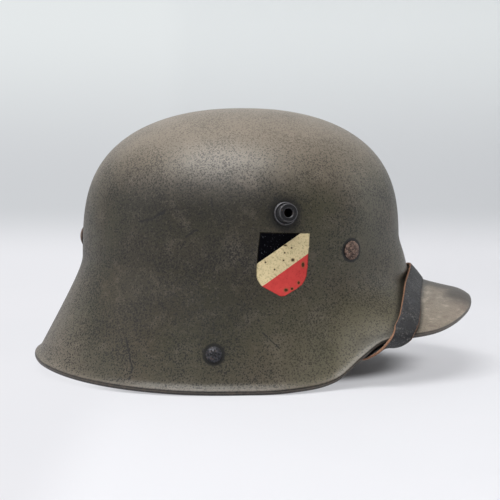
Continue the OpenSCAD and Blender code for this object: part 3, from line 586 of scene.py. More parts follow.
def transfer_paint():
    """The striped shield: thin paint with flakes and chips in it"""
    look, c = Finish("shield_transfer"), colours()
    x, _, z = look.axes()
    wave = (look.noise(2.5) - 0.5) * 0.5
    upper, lower = (z - high - (x - across) * climb + wave
                    for across, high, climb in (UPPER_EDGE, LOWER_EDGE))
    dust = look.noise(1.3, 4, 0.8)
    faded = look.noise(5, 4, 0.7).step(0.35, 0.7) * 0.6
    cream = look.mix(faded, c.cream_stripe[:], tint(198, 183, 142))
    cream = look.mix(dust.step(0.52, 0.6) * 0.6, cream, tint(146, 134, 100))
    faded = look.noise(6, 4, 0.7).step(0.4, 0.65) * 0.5
    red = look.mix(faded, c.red_stripe[:], tint(180, 60, 57))
    red = look.mix(dust.step(0.55, 0.66) * 0.4, red, tint(120, 40, 38))
    faded = look.noise(1.1, 2, 0.8).step(0.64, 0.70) * 0.6
    black = look.mix(faded, c.black_stripe[:], tint(96, 98, 106))
    look.base = look.mix(lower.step(0.12, -0.12), cream, red)
    look.coat(upper.step(-0.12, 0.12), black)
    around = []
    for px, pz, wide, tall in CHIPS:
        off = look.vector("SUBTRACT", look.place, (px, 0.0, pz))
        off = look.vector("MULTIPLY", off, (1 / wide, 0.0, 1 / tall))
        around.append(look.vector("LENGTH", off) + (dust - 0.5) * 0.7)
    below = upper.step(0.4, -0.2)
    chips = highest(away.step(1.1, 0.75) for away in around) * below
    rings = highest(away.step(1.75, 1.15) for away in around) * below
    look.coat(rings * 0.55, tint(122, 92, 56))
    look.coat(chips * 0.9, tint(52, 46, 34))
    edge = look.mark("rim_gap").step(0.75, 0.1) * 0.75
    look.coat(edge * look.noise(3).step(0.3, 0.5), tint(44, 40, 32))
    rough = 0.42 + 0.15 * dust + chips * 0.2
    return look.done(rough, bumps=((1 - chips, 0.05), (look.noise(0.9, 3, 0.7), 0.04)),
                     specular=0.04)


def lug_steel(name, point, out, rings):
    """Dark steel turned with steps: bare metal shows round its edges"""
    look, c = Finish(name), colours()
    along, away = look.offset(point, out)
    mottle = look.noise(1.3, 4, 0.7)
    look.base = look.mix(mottle.step(0.45, 0.75) * 0.6, c.lug[:], tint(36, 36, 41))
    look.coat(look.noise(2.6, 3, 0.7).step(0.6, 0.72) * 0.4, c.rust[:])
    bright = highest(abs(along - height).most(abs(away - radius)).step(wide, wide * 0.35)
                     for height, radius, wide in rings)
    bright = bright * look.noise(2.2).step(0.3, 0.52)
    look.coat(bright * 0.6, tint(108, 107, 110))
    return look.done(0.46 + 0.2 * mottle - bright * 0.12, 0.2 + bright * 0.2,
                     bumps=((look.noise(0.8, 3, 0.7), 0.06),))


def rivet_steel():
    """The dark head of a strap rivet, with a small punched star"""
    look, c = Finish("rivet_steel"), colours()
    mottle = look.noise(1.2, 4, 0.7)
    look.base = look.mix(mottle.step(0.38, 0.68), tint(28, 28, 32), tint(76, 76, 81))
    look.coat(look.noise(2.2).step(0.58, 0.7) * 0.35, c.rust[:])
    off = look.vector("SUBTRACT", look.place, (RIVET.x, 0.0, RIVET.z + 0.8))
    off = look.vector("MULTIPLY", off, (1.0, 0.0, 1.0))
    arms = []
    for k in range(3):
        way = (cosd(60 * k + 12), 0.0, sind(60 * k + 12))
        side = (-way[2], 0.0, way[0])
        far, near = (abs(look.vector("DOT_PRODUCT", off, axis)) for axis in (way, side))
        arms.append(near.step(0.65, 0.3) * far.step(2.9, 2.0))
    star = highest(arms) * look.noise(1.5).step(0.3, 0.45)
    look.coat(star * 0.85, tint(18, 17, 20))
    return look.done(0.42 + 0.2 * mottle, 0.4,
                     bumps=((1 - star, 0.3), (look.noise(0.8, 3, 0.7), 0.06)))


def pin_rust():
    """Rusted and pitted pin heads and rivets"""
    look, c = Finish("rusty_pin"), colours()
    patch = look.noise(2.4, 4, 0.7, swirl=0.4)
    look.base = look.mix(patch.step(0.36, 0.56), tint(60, 46, 40), c.rust[:])
    look.coat(look.noise(1.2, 3, 0.75).step(0.52, 0.64) * 0.8, tint(150, 128, 116))
    pit = (look.cells(1.7).step(0.5, 0.2) * look.noise(2.2).step(0.42, 0.5)).most(
        look.noise(2.0, 3, 0.7, swirl=1.0).step(0.60, 0.64))
    look.coat(pit * 0.9, tint(18, 14, 13))
    return look.done(0.55 + 0.2 * patch, 0.15,
                     bumps=((1 - pit, 0.22), (look.noise(0.9, 3, 0.75), 0.12)))


def dull_metal():
    """Grey bands and buckle: dull metal, spotted with rust"""
    look, c = Finish("dull_metal"), colours()
    cloud = look.noise(9, 5, 0.7)
    drawn = look.vector("MULTIPLY", look.place, (0.25, 0.25, 2.2))
    rolled = look.noise(1.2, 3, 0.7, along=drawn)
    look.base = look.mix(cloud.step(0.35, 0.7), c.metal[:], tint(108, 106, 100))
    look.coat(rolled.step(0.4, 0.75) * 0.35, tint(78, 76, 72))
    rust = look.noise(3.4, 5, 0.75).step(0.58, 0.68)
    look.coat(rust * 0.8, c.rust[:])
    return look.done(0.42 + 0.2 * cloud + rust * 0.2, 0.75 - rust * 0.6,
                     bumps=((rolled, 0.05), (rust, 0.04)))


def strap_leather():
    """Black strap leather, dull and cracked, brown where it is cut or rubbed through"""
    look, c = Finish("strap_leather"), colours()
    cut = look.mark("cut_edge")
    pores = look.cells(0.8)
    grain = look.noise(1.9, 4, 0.75)
    cracks = look.cells(2.6, feature="DISTANCE_TO_EDGE")
    faded = look.noise(9, 4, 0.65).step(0.35, 0.7) * 0.75
    look.base = look.mix(faded, c.strap[:], tint(60, 60, 64))
    _, _, z = look.axes()
    # Painted shade: the strap is darker towards its lower end
    look.coat(z.step(58, 36) * 0.7, tint(20, 20, 23))
    look.coat(grain.step(0.48, 0.6) * 0.7, tint(17, 16, 18))
    scuffs = look.noise(0.9, 3, 0.8).step(0.57, 0.63) * look.noise(7).step(0.4, 0.55)
    look.coat(scuffs * 0.5, tint(112, 111, 110))
    flecks = look.noise(1.7, 3, 0.8).step(0.56, 0.62) * look.noise(7).step(0.35, 0.6)
    look.coat(flecks * 0.65, tint(112, 109, 106))
    crack = cracks.step(0.1, 0.02) * look.noise(6).step(0.45, 0.6)
    look.coat(crack * 0.7, tint(22, 20, 20))
    rub = look.noise(2.2, 4, 0.75).step(0.62, 0.7) * cut.step(0.05, 0.55)
    look.coat(rub * 0.8, c.raw[:])
    raw = look.mix(look.noise(1.6, 4, 0.75).step(0.5, 0.7), c.raw[:], tint(70, 50, 40))
    look.coat(cut.step(0.6, 0.8), raw)
    return look.done(0.5 + 0.2 * grain + cut * 0.15,
                     bumps=((pores, 0.12), (grain, 0.3), (1 - crack, 0.2), (look.noise(5), 0.4)))


def liner_hide():
    """Brown liner leather, dark where it was worn next to the head"""
    look, c = Finish("liner_hide"), colours()
    cut = look.mark("cut_edge")
    _, _, z = look.axes()
    stain = look.noise(26, 4, 0.6)
    look.base = look.mix(stain.step(0.38, 0.66), c.liner[:], tint(110, 74, 46))
    look.coat(z.step(104, 84) * 0.6, tint(74, 50, 34))
    grain = look.cells(1.4)
    look.coat(grain.step(0.2, 0.75) * 0.3, tint(168, 128, 86))
    drawn = look.vector("MULTIPLY", look.place, (1, 1, 0.4))
    fold = look.noise(3.5, 4, 0.7, along=drawn)
    look.coat(fold.step(0.55, 0.7) * 0.35, tint(66, 44, 30))
    look.coat(cut * 0.7, tint(176, 142, 102))
    return look.done(0.52 + 0.2 * stain,
                     bumps=((grain, 0.16), (fold, 0.25), (look.noise(8), 0.5)))


def cotton():
    """Drawstring of twisted cotton"""
    look, c = Finish("cotton"), colours()
    soil_and_shade = look.noise(8, 4, 0.6)
    look.base = look.mix(soil_and_shade.step(0.35, 0.7), c.cord[:], tint(150, 134, 104))
    hairs = look.noise(0.35, 2, 0.6)
    look.coat(hairs.step(0.5, 0.7) * 0.3, tint(112, 98, 74))
    return look.done(0.85, bumps=((hairs, 0.08),))


def table_top():
    """Pale table and backdrop, plain white in its far part to the camera and in a gloss"""
    look, c = Finish("table_top"), colours()
    x, y, z = look.axes()
    clouds = look.noise(220, 3, 0.5).step(0.35, 0.65) * 0.35
    look.base = look.mix(clouds, c.table[:], tint(224, 225, 229))
    look.coat(z.step(20, 75) * 0.8, tint(192, 195, 198))
    look.coat(z.step(90, 300), tint(221, 225, 226))
    lit = look.shader(0.62, bumps=((look.noise(3, 2, 0.5), 0.03),))
    glow = look.node("Emission", values={"Color": look.base, "Strength": 1.08})
    camera = look.node("LightPath", out="Is Camera Ray")
    direct = camera.most(look.node("LightPath", out="Is Glossy Ray"))
    # The share of plain white falls off under the helmet, so that its shadow has a dark core
    across = x / (150 + 0.6 * y.most(0.0))
    along = y / 100
    core = ((across * across + along * along) ** 0.5).step(0.60, 0.84)
    # The extra plain white to the left is painted light, which washes out the helmet's shadow there
    share = (0.55 + 0.4 * x.step(-70, -115)) * core
    top = look.node("MixShader", values={0: direct * share, 1: lit, 2: glow})
    # Seen from below or from behind it is clear, so that it hides nothing of the helmet
    hidden = look.node("NewGeometry", out="Backfacing") * camera
    clear = look.node("BsdfTransparent")
    return look.surface(look.node("MixShader", values={0: hidden, 1: top, 2: clear}))


# Pieces

def repaint(names, finish):
    """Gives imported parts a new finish"""
    for name in names:
        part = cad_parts[name]
        part.data.materials.clear()
        part.data.materials.append(finish)


class HELMET_OT_stage(bpy.types.Operator):
    """Camera, table, backdrop and soft lamps"""

    bl_idname = "helmet.stage"
    bl_label = "Stage"

    # The picture's focal length and width in pixels, and the camera's sensor in millimetres
    FOCAL, PICTURE, SENSOR = 1330.6, 500, 36.0
    PLACE, TILT, ROLL = (-0.002178, -0.93139, 0.17094), 5.528, -0.02
    # The backdrop's distance behind the middle, its height and the radius of its bend
    BACK, RISE, BEND = 0.75, 2.6, 0.35
    # The room's light fades along Y: from, to, and its strength at both
    ROOM_FADE, ROOM_TINT = (-0.8, 0.3, 0.09, 0.24), (0.97, 0.975, 0.99, 1)
    # Name, place, aim, width, depth and watts of each lamp
    LAMPS = (("top", (-0.22, -0.48, 1.1), (0.0, 0.0, 0.08), 0.9, 0.6, 15.5),
             ("left", (-1.25, -0.4, 0.6), (0.0, 0.0, 0.08), 0.9, 0.9, 2.6),
             ("right", (1.3, 0.1, 0.5), (0.05, 0.0, 0.05), 0.9, 0.9, 3.5),
             ("front", (-0.2, -1.3, 0.95), (0.02, 0.0, 0.03), 1.0, 0.6, 1.5))

    def camera(self, scene):
        eye = bpy.data.cameras.new("eye")
        eye.sensor_width = self.SENSOR
        eye.lens = self.SENSOR * self.FOCAL / self.PICTURE
        eye.clip_end = 50.0
        camera = bpy.data.objects.new("camera", eye)
        camera.location = self.PLACE
        camera.rotation_euler = (math.radians(90 - self.TILT), 0, math.radians(self.ROLL))
        scene.collection.objects.link(camera)
        scene.camera = camera

    def table(self, scene):
        half, turn = sizes().floor / 2, self.BACK - self.BEND
        run = [(-half, 0.0), (turn, 0.0)]
        run += [(turn + self.BEND * sind(g), self.BEND * (1 - cosd(g))) for g in range(6, 91, 6)]
        run.append((self.BACK, self.RISE))
        points = [(side * half, *spot) for spot in run for side in (-1, 1)]
        faces = [(2 * i, 2 * i + 1, 2 * i + 3, 2 * i + 2) for i in range(len(run) - 1)]
        mesh = bpy.data.meshes.new("table")
        mesh.from_pydata(points, [], faces)
        mesh.polygons.foreach_set("use_smooth", [True] * len(mesh.polygons))
        table = bpy.data.objects.new("table", mesh)
        table.data.materials.append(table_top())
        scene.collection.objects.link(table)

    def room(self, scene):
        scene.world = bpy.data.worlds.new("room")
        room = Nodes(scene.world)
        way = room.node("SeparateXYZ", values={0: room.node("TexCoord", out="Generated")}, out="Y")
        fade = room.node("MapRange", values={0: way, **dict(enumerate(self.ROOM_FADE, 1))})
        light = room.node("Background", values={"Color": self.ROOM_TINT, "Strength": fade})
        room.node("OutputWorld", values={"Surface": light})

    def lamps(self, scene):
        for name, place, aim, wide, deep, power in self.LAMPS:
            lamp = bpy.data.lights.new(name, "AREA")
            lamp.shape = "RECTANGLE"
            lamp.size, lamp.size_y, lamp.energy = wide, deep, power
            holder = bpy.data.objects.new(name, lamp)
            holder.location = place
            way = Vector(aim) - Vector(place)
            holder.rotation_euler = way.to_track_quat("-Z", "Y").to_euler()
            scene.collection.objects.link(holder)

    def execute(self, context):
        for part in (self.camera, self.table, self.room, self.lamps):
            part(context.scene)
        context.scene.view_settings.view_transform = "Standard"
        return {"FINISHED"}


class HELMET_OT_shell(bpy.types.Operator):
    """Pressed steel shell with its rolled rim, and the vents through it"""

    bl_idname = "helmet.shell"
    bl_label = "Steel shell"

    # Sections round the dome, steps down the skirt, along the lip and round the bead, and the
    # angle that the bead turns through
    AROUND, SKIRT, LIP, BEAD, BEAD_WRAP = 288, 22, 4, 16, 290
    # The lip mark: where it starts on the skirt, its value at the ends of skirt and lip, and its
    # rise round the bead; and the share of the bead after which the inside starts
    MARK_FROM, SKIRT_MARK, LIP_MARK, BEAD_MARK, INSIDE_FROM = 0.55, 0.6, 0.85, 0.5, 0.8
    VENT, VENT_DEPTH = 4.5, 16
    # The strap mark's greatest distance, and the points looked at between two of the strap's
    FAR, PER_SPAN = 40.0, 8
    # Angles up the dome, closer together over the flare
    RISE = [87.5 - 2.5 * k for k in range(35)] + [1.6, 0.9, 0.4, 0.12, 0]

    def execute(self, context):
        sheet, bead = sizes().sheet / MM, sizes().bead / MM
        points, lip, within = [], [], []

        def put(point, edge, inner):
            points.append(point)
            lip.append(edge)
            within.append(inner)

        for i in range(self.AROUND):
            rib = Rib(360 * i / self.AROUND, bead)
            for f in self.RISE:
                put(rib.dome(f), 0.0, 0.0)
            for k in range(1, self.SKIRT + 1):
                s = k / self.SKIRT
                edge = max(0.0, (s - self.MARK_FROM) / (1 - self.MARK_FROM)) * self.SKIRT_MARK
                put(rib.skirt(s), edge, 0.0)
            for k in range(1, self.LIP):
                t = k / self.LIP
                put(rib.lip_point(t), mixed(self.SKIRT_MARK, self.LIP_MARK, t), 0.0)
            for k in range(self.BEAD + 1):
                t = k / self.BEAD
                put(rib.bead_point(self.BEAD_WRAP * t), self.LIP_MARK + self.BEAD_MARK * t,
                    max(0.0, (t - self.INSIDE_FROM) / (1 - self.INSIDE_FROM)))
            put(rib.lip_point(0.0, -sheet), 1.0, 1.0)
            for k in range(self.SKIRT - 1, 0, -1):
                put(rib.skirt(k / self.SKIRT, -sheet), 0.0, 1.0)
            for f in reversed(self.RISE):
                put(rib.dome(f, sheet), 0.0, 1.0)
        size = len(points) // self.AROUND
        faces = loop_faces(self.AROUND, size)
        for depth, j, inner in ((0.0, 0, 0.0), (sheet, size - 1, 1.0)):
            pole = len(points)
            put(Vector((DOME_X + CROWN_SHIFT, 0, CROWN - depth)), 0.0, inner)
            faces += [(pole, i * size + j, ((i + 1) % self.AROUND) * size + j)
                      for i in range(self.AROUND)]
        # The distance from the strap sets the painted shade beside it
        line = strap_line(sizes().strap_leather / MM, bead)
        steps = [(i, k / self.PER_SPAN) for i in range(len(line) - 1)
                 for k in range(self.PER_SPAN)]
        tree = KDTree(len(steps))
        for n, (i, u) in enumerate(steps):
            tree.insert(through(line, i, u)[0], n)
        tree.balance()
        strap = [min(tree.find(point)[2], self.FAR) for point in points]
        steel = new_piece("steel_shell", points, faces, "helmet", field_paint(),
                          {"lip": lip, "within": within, "strap": strap})
        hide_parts("shell")
        for _, turn in SIDES:
            point, out = turn(LUG_POINT), turn(LUG_OUT)
            cut_with(steel, [(point - out * self.VENT_DEPTH / 2, out, self.VENT,
                              self.VENT_DEPTH)])
        return {"FINISHED"}


class HELMET_OT_shield(bpy.types.Operator):
    """Striped shield painted on the right side"""

    bl_idname = "helmet.shield"
    bl_label = "Striped shield"

    # Falling heights, with the left and the right edge of the shield there, seen from the side
    OUTLINE = ((100.17, 4.31, 36.42), (93.0, 3.3, 35.95), (87.2, 2.75, 35.5), (81.3, 2.3, 35.1),
               (76.5, 2.05, 34.75), (72.8, 2.15, 34.3), (70.0, 3.2, 33.2), (67.4, 5.1, 31.6),
               (65.6, 7.9, 29.2), (63.6, 11.6, 25.9), (61.9, 14.6, 22.8), (60.9, 16.4, 20.9),
               (60.3, 17.6, 19.4))
    ROWS, COLUMNS = 72, 56
    # The topmost rows rise, less towards the right
    TOP_ROWS, TOP_RISE, TOP_SLANT = 8, 1.1, 0.04
    # Where the rays start, and how far the paint stands off the steel
    OUTSIDE, STAND_OFF = -300, 0.05

    def execute(self, context):
        steel = bpy.data.objects["steel_shell"]
        tree = BVHTree.FromObject(steel, context.evaluated_depsgraph_get())
        points, gaps = [], []
        high, low = self.OUTLINE[0][0], self.OUTLINE[-1][0]
        for i in range(self.ROWS + 1):
            z = mixed(high, low, i / self.ROWS)
            k = 0
            while k < len(self.OUTLINE) - 2 and z < self.OUTLINE[k + 1][0]:
                k += 1
            a, b = self.OUTLINE[k], self.OUTLINE[k + 1]
            t = (z - a[0]) / (b[0] - a[0])
            left, right = mixed(a[1], b[1], t), mixed(a[2], b[2], t)
            top = max(0.0, 1 - i / self.TOP_ROWS)
            for j in range(self.COLUMNS + 1):
                x = mixed(left, right, j / self.COLUMNS)
                up = z + top * (self.TOP_RISE - self.TOP_SLANT * (x - left))
                spot, out, _, _ = tree.ray_cast(Vector((x, self.OUTSIDE, up)) * MM,
                                                Vector((0, 1, 0)))
                points.append(spot / MM + out * self.STAND_OFF)
                gaps.append(min(x - left, right - x, high - z, (z - low) * 0.9 + 0.05))
        faces = loop_faces(self.ROWS + 1, self.COLUMNS + 1, closed_rings=False)
        shield = new_piece("shield_transfer", points, faces, "helmet", transfer_paint(),
                           {"rim_gap": gaps})
        return {"FINISHED"}


class HELMET_OT_vent_lugs(bpy.types.Operator):
    """Stepped vent lugs"""

    bl_idname = "helmet.vent_lugs"
    bl_label = "Vent lugs"

    # Height, radius and width of each bright edge
    RINGS = ((2.7, 7.1, 0.5), (9.65, 5.6, 0.42), (9.4, 3.25, 0.45), (7.3, 5.8, 0.4))

    def execute(self, context):
        for side, turn in SIDES:
            repaint([f"vent_lug_{side}"],
                    lug_steel(f"lug_steel_{side}", turn(LUG_POINT), turn(LUG_OUT), self.RINGS))
        return {"FINISHED"}


class HELMET_OT_pins(bpy.types.Operator):
    """Liner pins, their washers and all the small rivets"""

    bl_idname = "helmet.pins"
    bl_label = "Pins and rivets"

    def execute(self, context):
        repaint(["liner_pin_right", "liner_pin_left", "liner_pin_rear", "spring_rivets",
                 "liner_rivets"], pin_rust())
        repaint(["pin_washers"], dull_metal())
        return {"FINISHED"}


class HELMET_OT_bands(bpy.types.Operator):
    """Outer band and inner band"""

    bl_idname = "helmet.bands"
    bl_label = "Liner bands"

    def execute(self, context):
        repaint(["outer_band", "inner_band"], dull_metal())
        return {"FINISHED"}


class HELMET_OT_springs(bpy.types.Operator):
    """Leaf springs, each leaf made a piece of its own"""

    bl_idname = "helmet.springs"
    bl_label = "Leaf springs"

    # Two leaves are at least this many degrees apart
    GAP = 8.0
    # How far inside a leaf's outer and inner face its bend starts and ends
    FOOT_IN, BOW_IN = 1.6, 1.2

    def execute(self, context):
        mesh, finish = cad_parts["leaf_springs"].data, dull_metal()
        spots = [v.co / MM for v in mesh.vertices]
        turns = [math.degrees(math.atan2(p.y, p.x - BAND_X)) for p in spots]
        order = sorted(range(len(spots)), key=lambda i: (turns[i], i))
        wide = [k for k in range(1, len(order))
                if turns[order[k]] - turns[order[k - 1]] > self.GAP]
        bounds = [0] + wide + [len(order)]
        groups = [order[a:b] for a, b in zip(bounds, bounds[1:])]
        if turns[order[0]] + 360 - turns[order[-1]] < self.GAP:
            groups[0] += groups.pop()
        for number, group in enumerate(groups, 1):
            place = {old: new for new, old in enumerate(group)}
            faces = [[place[i] for i in face.vertices] for face in mesh.polygons
                     if face.vertices[0] in place]
            points = [spots[i] for i in group]
            leaf = new_piece(f"leaf_spring_{number}", points, faces, None, finish, smooth=False)
            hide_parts("leaf_springs")
            middle = sum(points, Vector()) / len(points)
            out = Vector((middle.x - BAND_X, middle.y, 0)).normalized()
            side = max(points, key=lambda p: (p - middle).cross(out).z)
            other = min(points, key=lambda p: (p - middle).cross(out).z)
            run = Vector((side.x - other.x, side.y - other.y, 0)).normalized()
            square = Vector((run.y, -run.x, 0))
            square *= 1 if square.dot(out) > 0 else -1
            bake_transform(leaf)
        return {"FINISHED"}


# The leather's distance inside the dome's plan, and the height where its tongues start
LEATHER_IN, TONGUE_ROOT = 12.6, BAND_TOP - 2


def tongue_point(a, f, inset, rise):
    """A point of the tongues' dome, at an angle round it and an angle up"""
    return Vector((BAND_X + (HALF_L - inset) * cosd(f) * cosd(a),
                   (HALF_W - inset) * cosd(f) * sind(a), TONGUE_ROOT + rise * sind(f)))


class HELMET_OT_leather(bpy.types.Operator):
    """Liner leather: flap, fold and eight tongues"""

    bl_idname = "helmet.leather"
    bl_label = "Liner leather"

    TONGUES, PER_TONGUE, STEPS = 8, 36, 14
    # Angles up at a tongue's tip and between two tongues
    TIP, ROOT = 66, 12
    FLAP_IN = 11.4
    # How far the tips lean in and out by turns, and the angle that this starts from
    CURL, CURL_FROM = 0.25, 40

    def wall(self, a, inset, z):
        return Vector((BAND_X + (HALF_L - inset) * cosd(a), (HALF_W - inset) * sind(a), z))

    def execute(self, context):
        thick, rise = sizes().liner_leather / MM, sizes().tongue_rise / MM
        low, top = BAND_LOW - 0.1, BAND_LOW + 7.5
        flap, outer, inner = self.FLAP_IN, LEATHER_IN, LEATHER_IN + thick
        # Inset, height and cut mark down the flap, round the fold and up inside
        inside = [(flap - thick * 0.5, top, 1.0), (flap - thick, top - 0.4, 0.4),
                  (flap - thick, top - 2, 0.0), (flap - thick, low - 0.2, 0.0),
                  (flap - thick * 0.9, low - thick * 0.6, 0.0), (flap - 0.5, low - thick, 0.0),
                  (outer + 0.5, low - thick, 0.0),
                  (outer + thick * 0.9, low - thick * 0.6, 0.0), (inner, low - 0.2, 0.0)]
        inside += [(inner, mixed(low, TONGUE_ROOT, k / 5), 0.0) for k in range(1, 6)]
        outside = [(outer, TONGUE_ROOT, 0.0), (outer, low, 0.0), (flap, low, 0.0),
                   (flap, top - 0.4, 0.4)]
        # Share of the way up a tongue, with the cut mark there
        climb = [(k / self.STEPS, max(0.0, k / self.STEPS * 12 - 11.4))
                 for k in range(1, self.STEPS + 1)]
        count = self.TONGUES * self.PER_TONGUE
        rows = []
        for i in range(count):
            a = 360 * i / count
            e = abs(2 * (i % self.PER_TONGUE) / self.PER_TONGUE - 1)
            f = mixed(self.TIP, self.ROOT, e**4)
            curl = self.CURL * sind(8 * a + self.CURL_FROM)
            rows += [(self.wall(a, inset, z), cut) for inset, z, cut in inside]
            rows += [(tongue_point(a, f * t, inner + curl * t * t, rise - thick), cut)
                     for t, cut in climb]
            rows.append((tongue_point(a, f + 0.35, (inner + outer) / 2, rise - thick / 2), 1.0))
            rows += [(tongue_point(a, f * t, outer + curl * t * t, rise), cut)
                     for t, cut in reversed(climb)]
            rows += [(self.wall(a, inset, z), cut) for inset, z, cut in outside]
        points, cuts = zip(*rows)
        faces = loop_faces(count, len(points) // count, closed_size=True)
        hide = new_piece("liner_hide", points, faces, "liner", liner_hide(), {"cut_edge": cuts})
        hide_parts("liner_leather")
        return {"FINISHED"}


class HELMET_OT_drawstring(bpy.types.Operator):
    """Twisted cord laid over the tips of the tongues, with its knot"""

    bl_idname = "helmet.drawstring"
    bl_label = "Drawstring"

    # The angle up where the cord lies, the steps round it, the points of its section and its turns
    AT, STEPS, LOBES, TURNS = 59, 360, 12, 62
    KNOT_TURNS, KNOT_UP = 3, 1.6
    # A tail's length, its lean from upright, its angle from the other tail's middle, and its sag
    TAIL, LEAN, SPREAD, SAG = 8, 78, 22, 0.6

    def line(self, a, rise, lift):
        return tongue_point(a, self.AT, LEATHER_IN - lift, rise + lift)

    def twisted(self, path, closed, radius, turns):
        """Points and faces of a three-strand cord along a path"""
        points, count = [], len(path)
        for i, p in enumerate(path):
            ahead = path[(i + 1) % count] if closed else path[min(i + 1, count - 1)]
            behind = path[i - 1] if closed or i else path[0]
            way = (ahead - behind).normalized()
            side = way.cross(Vector((0, 0, 1))).normalized()
            up = side.cross(way)
            for k in range(self.LOBES):
                g = 360 * k / self.LOBES
                r = radius * (0.86 + 0.14 * cosd(3 * (g - 360 * turns * i / count)))
                points.append(p + side * (r * cosd(g)) + up * (r * sind(g)))
        faces = loop_faces(count, self.LOBES, closed_rings=closed, closed_size=True)
        if not closed:
            faces += cap_faces(count, self.LOBES)
        return points, faces

    def execute(self, context):
        radius, rise = sizes().cord / MM, sizes().tongue_rise / MM
        lift = radius + 0.3
        path = [self.line(360 * i / self.STEPS, rise, lift) for i in range(self.STEPS)]
        points, faces = self.twisted(path, True, radius, self.TURNS)
        knot = self.line(0, rise, lift) + Vector((0, 0, self.KNOT_UP))
        for side in (-1, 1):
            way = Vector((-sind(self.LEAN) * cosd(self.SPREAD),
                          side * sind(self.LEAN) * sind(self.SPREAD), cosd(self.LEAN))) * self.TAIL
            tail = [knot + way * t - Vector((0, 0, self.SAG * t * t))
                    for t in (k / 16 for k in range(17))]
            wrap = [knot + Vector((1.5 * cosd(g), side * 0.9 * sind(g), 1.1 * sind(g + 40 * side)))
                    for g in range(0, 360, 20)]
            for path, closed in ((tail, False), (wrap, True)):
                more, turns = self.twisted(path, closed, radius, self.KNOT_TURNS)
                faces += [tuple(v + len(points) for v in face) for face in turns]
                points += more
        string = new_piece("tongue_string", points, faces, "liner", cotton())
        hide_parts("drawstring")
        return {"FINISHED"}


# The strap's line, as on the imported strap

HOOK_BAR = Vector((-2.6534, -96.7688, 24.2686))
# The ways along the straight run under the rim and in towards the head, and the run's length
RUN, RUN_IN = Vector((0.954549, 0.298055, 0)), Vector((-0.298055, 0.954549, 0))
RUN_LENGTH, RUN_START = 66.54, 26
EXIT = Vector((60.8639, -76.9357, 24.2686))
# Lengths of the short strap and the buckle, the roller's radius, and the length of the loose tip
SHORT, BUCKLE, ROLLER, TIP = 42.0, 14.0, 2.0, 32.0
# Radius of a strap's eye round a bar, and the room between two pieces
EYE_IN, CLEAR = 1.95, 0.3
# Over the visor: angle, share of the way down the skirt, distance off it, and tilt
BROW = ((0, 0.55, 3.3, 0.35), (-11, 0.57, 3.3, 0.32), (-22, 0.64, 3.2, 0.3),
        (-30, 0.76, 3.0, 0.2), (-36, 0.9, 2.6, 0.1), (-39.5, 1.0, 2.4, 0))
# Round the rim: angle, turn round the bead, and distance from the bead's middle
WRAP = ((-41.2, 30, 4.3), (-42.8, 75, 4.2), (-44.6, 125, 4.2), (-46.6, 178, 4.8), (-49, 222, 6.8))
# How far from the short strap's end the loose tip comes down on it, and the keeper's way from there
LAP, KEEPER_WAY = 9.5, 6
# Width of the keeper along the straps, and its thickness
KEEPER, KEEPER_WALL = 7.0, 1.4


def on_run(x, z):
    """A point of the straight run, x along it and z in towards the head"""
    return HOOK_BAR + RUN * x + RUN_IN * z


def strap_line(thick, bead):
    """Points of the strap's middle, each with the way its face looks and its width"""
    half, turn, step = [], 0.5, 0.01
    for angle, place, off, tilt in BROW:
        rib = Rib(angle, bead)
        along = Rib(angle + turn, bead).skirt(place) - Rib(angle - turn, bead).skirt(place)
        out = along.cross(rib.skirt(place - step) - rib.skirt(place + step)).normalized()
        level = Vector((*rib.out, 0))
        half.append((rib.skirt(place) + out * off, out.lerp(level, tilt).normalized()))
    for angle, turned, radius in WRAP:
        rib = Rib(angle, bead)
        point = rib.bead_point(turned, radius)
        half.append((point, (point - rib.place(rib.reach - bead, rib.low + bead)).normalized()))
    half.append((EXIT + RUN_IN * thick / 2, RUN_IN.copy()))
    line = [(on_run(RUN_START, thick / 2), RUN_IN, 1),
            (on_run((RUN_START + RUN_LENGTH) / 2, thick / 2), RUN_IN, 1)]
    line += [(p, n, 1) for p, n in reversed(half)]
    line += [(mirrored(p), mirrored(n), 1) for p, n in half[1:]]
    # Round the buckle's roller and back over the short strap's eye
    under = -(ROLLER + CLEAR + thick / 2)
    over_eye, over_strap = EYE_IN + thick + CLEAR + thick / 2, thick + CLEAR + thick / 2
    front, tip = SHORT + BUCKLE, SHORT - TIP
    for x, z, wide in ((front + 7, under * 0.6, 1), (front, under, 1),
                       (front - 4.5, under * 0.55, 1), (SHORT + 5, over_eye * 0.5, 1),
                       (SHORT + 1, over_eye, 1), (SHORT - 4.5, over_eye * 0.96, 1),
                       (SHORT - LAP, over_strap, 1), (tip + 6, over_strap, 1),
                       (tip + 2, over_strap, 0.75), (tip, over_strap, 0.35)):
        line.append((mirrored(on_run(x, z)), mirrored(RUN_IN), wide))
    return line


def through(line, i, u):
    """A smooth curve through the line's points"""
    a, b, c, d = (line[min(max(i + k, 0), len(line) - 1)] for k in (-1, 0, 1, 2))
    return [0.5 * (2 * b[k] + (c[k] - a[k]) * u + (2 * a[k] - 5 * b[k] + 4 * c[k] - d[k]) * u**2
                   + (3 * b[k] - a[k] - 3 * c[k] + d[k]) * u**3) for k in range(3)]


def strap_ring(middle, across, out, half, thick, steps=6, cup=0.25):
    """One ring of a strap's section: flat faces, rounded cut edges and slightly cupped"""
    edge = thick * 0.28
    flat = half - edge
    ring, marks = [], []
    for side in (1, -1):
        for k in range(steps + 1):
            t = side * mixed(1, -1, k / steps)
            ring.append(middle + across * (t * flat) + out * (side * thick / 2 - cup * t * t))
            marks.append(max(0.0, abs(t) * 2.2 - 1.6) * (1 if side == 1 else 1.2))
        for g in (30, -30):
            ring.append(middle - across * (side * (flat + edge * cosd(g)))
                        + out * (side * thick / 2 * sind(g) - cup))
            marks.append(1.0)
    return ring, marks


def eye(bar, radius, reach=20):
    """A cutter along an upright bar"""
    up = Vector((0, 0, 1))
    return bar - up * reach, up, radius, 2 * reach


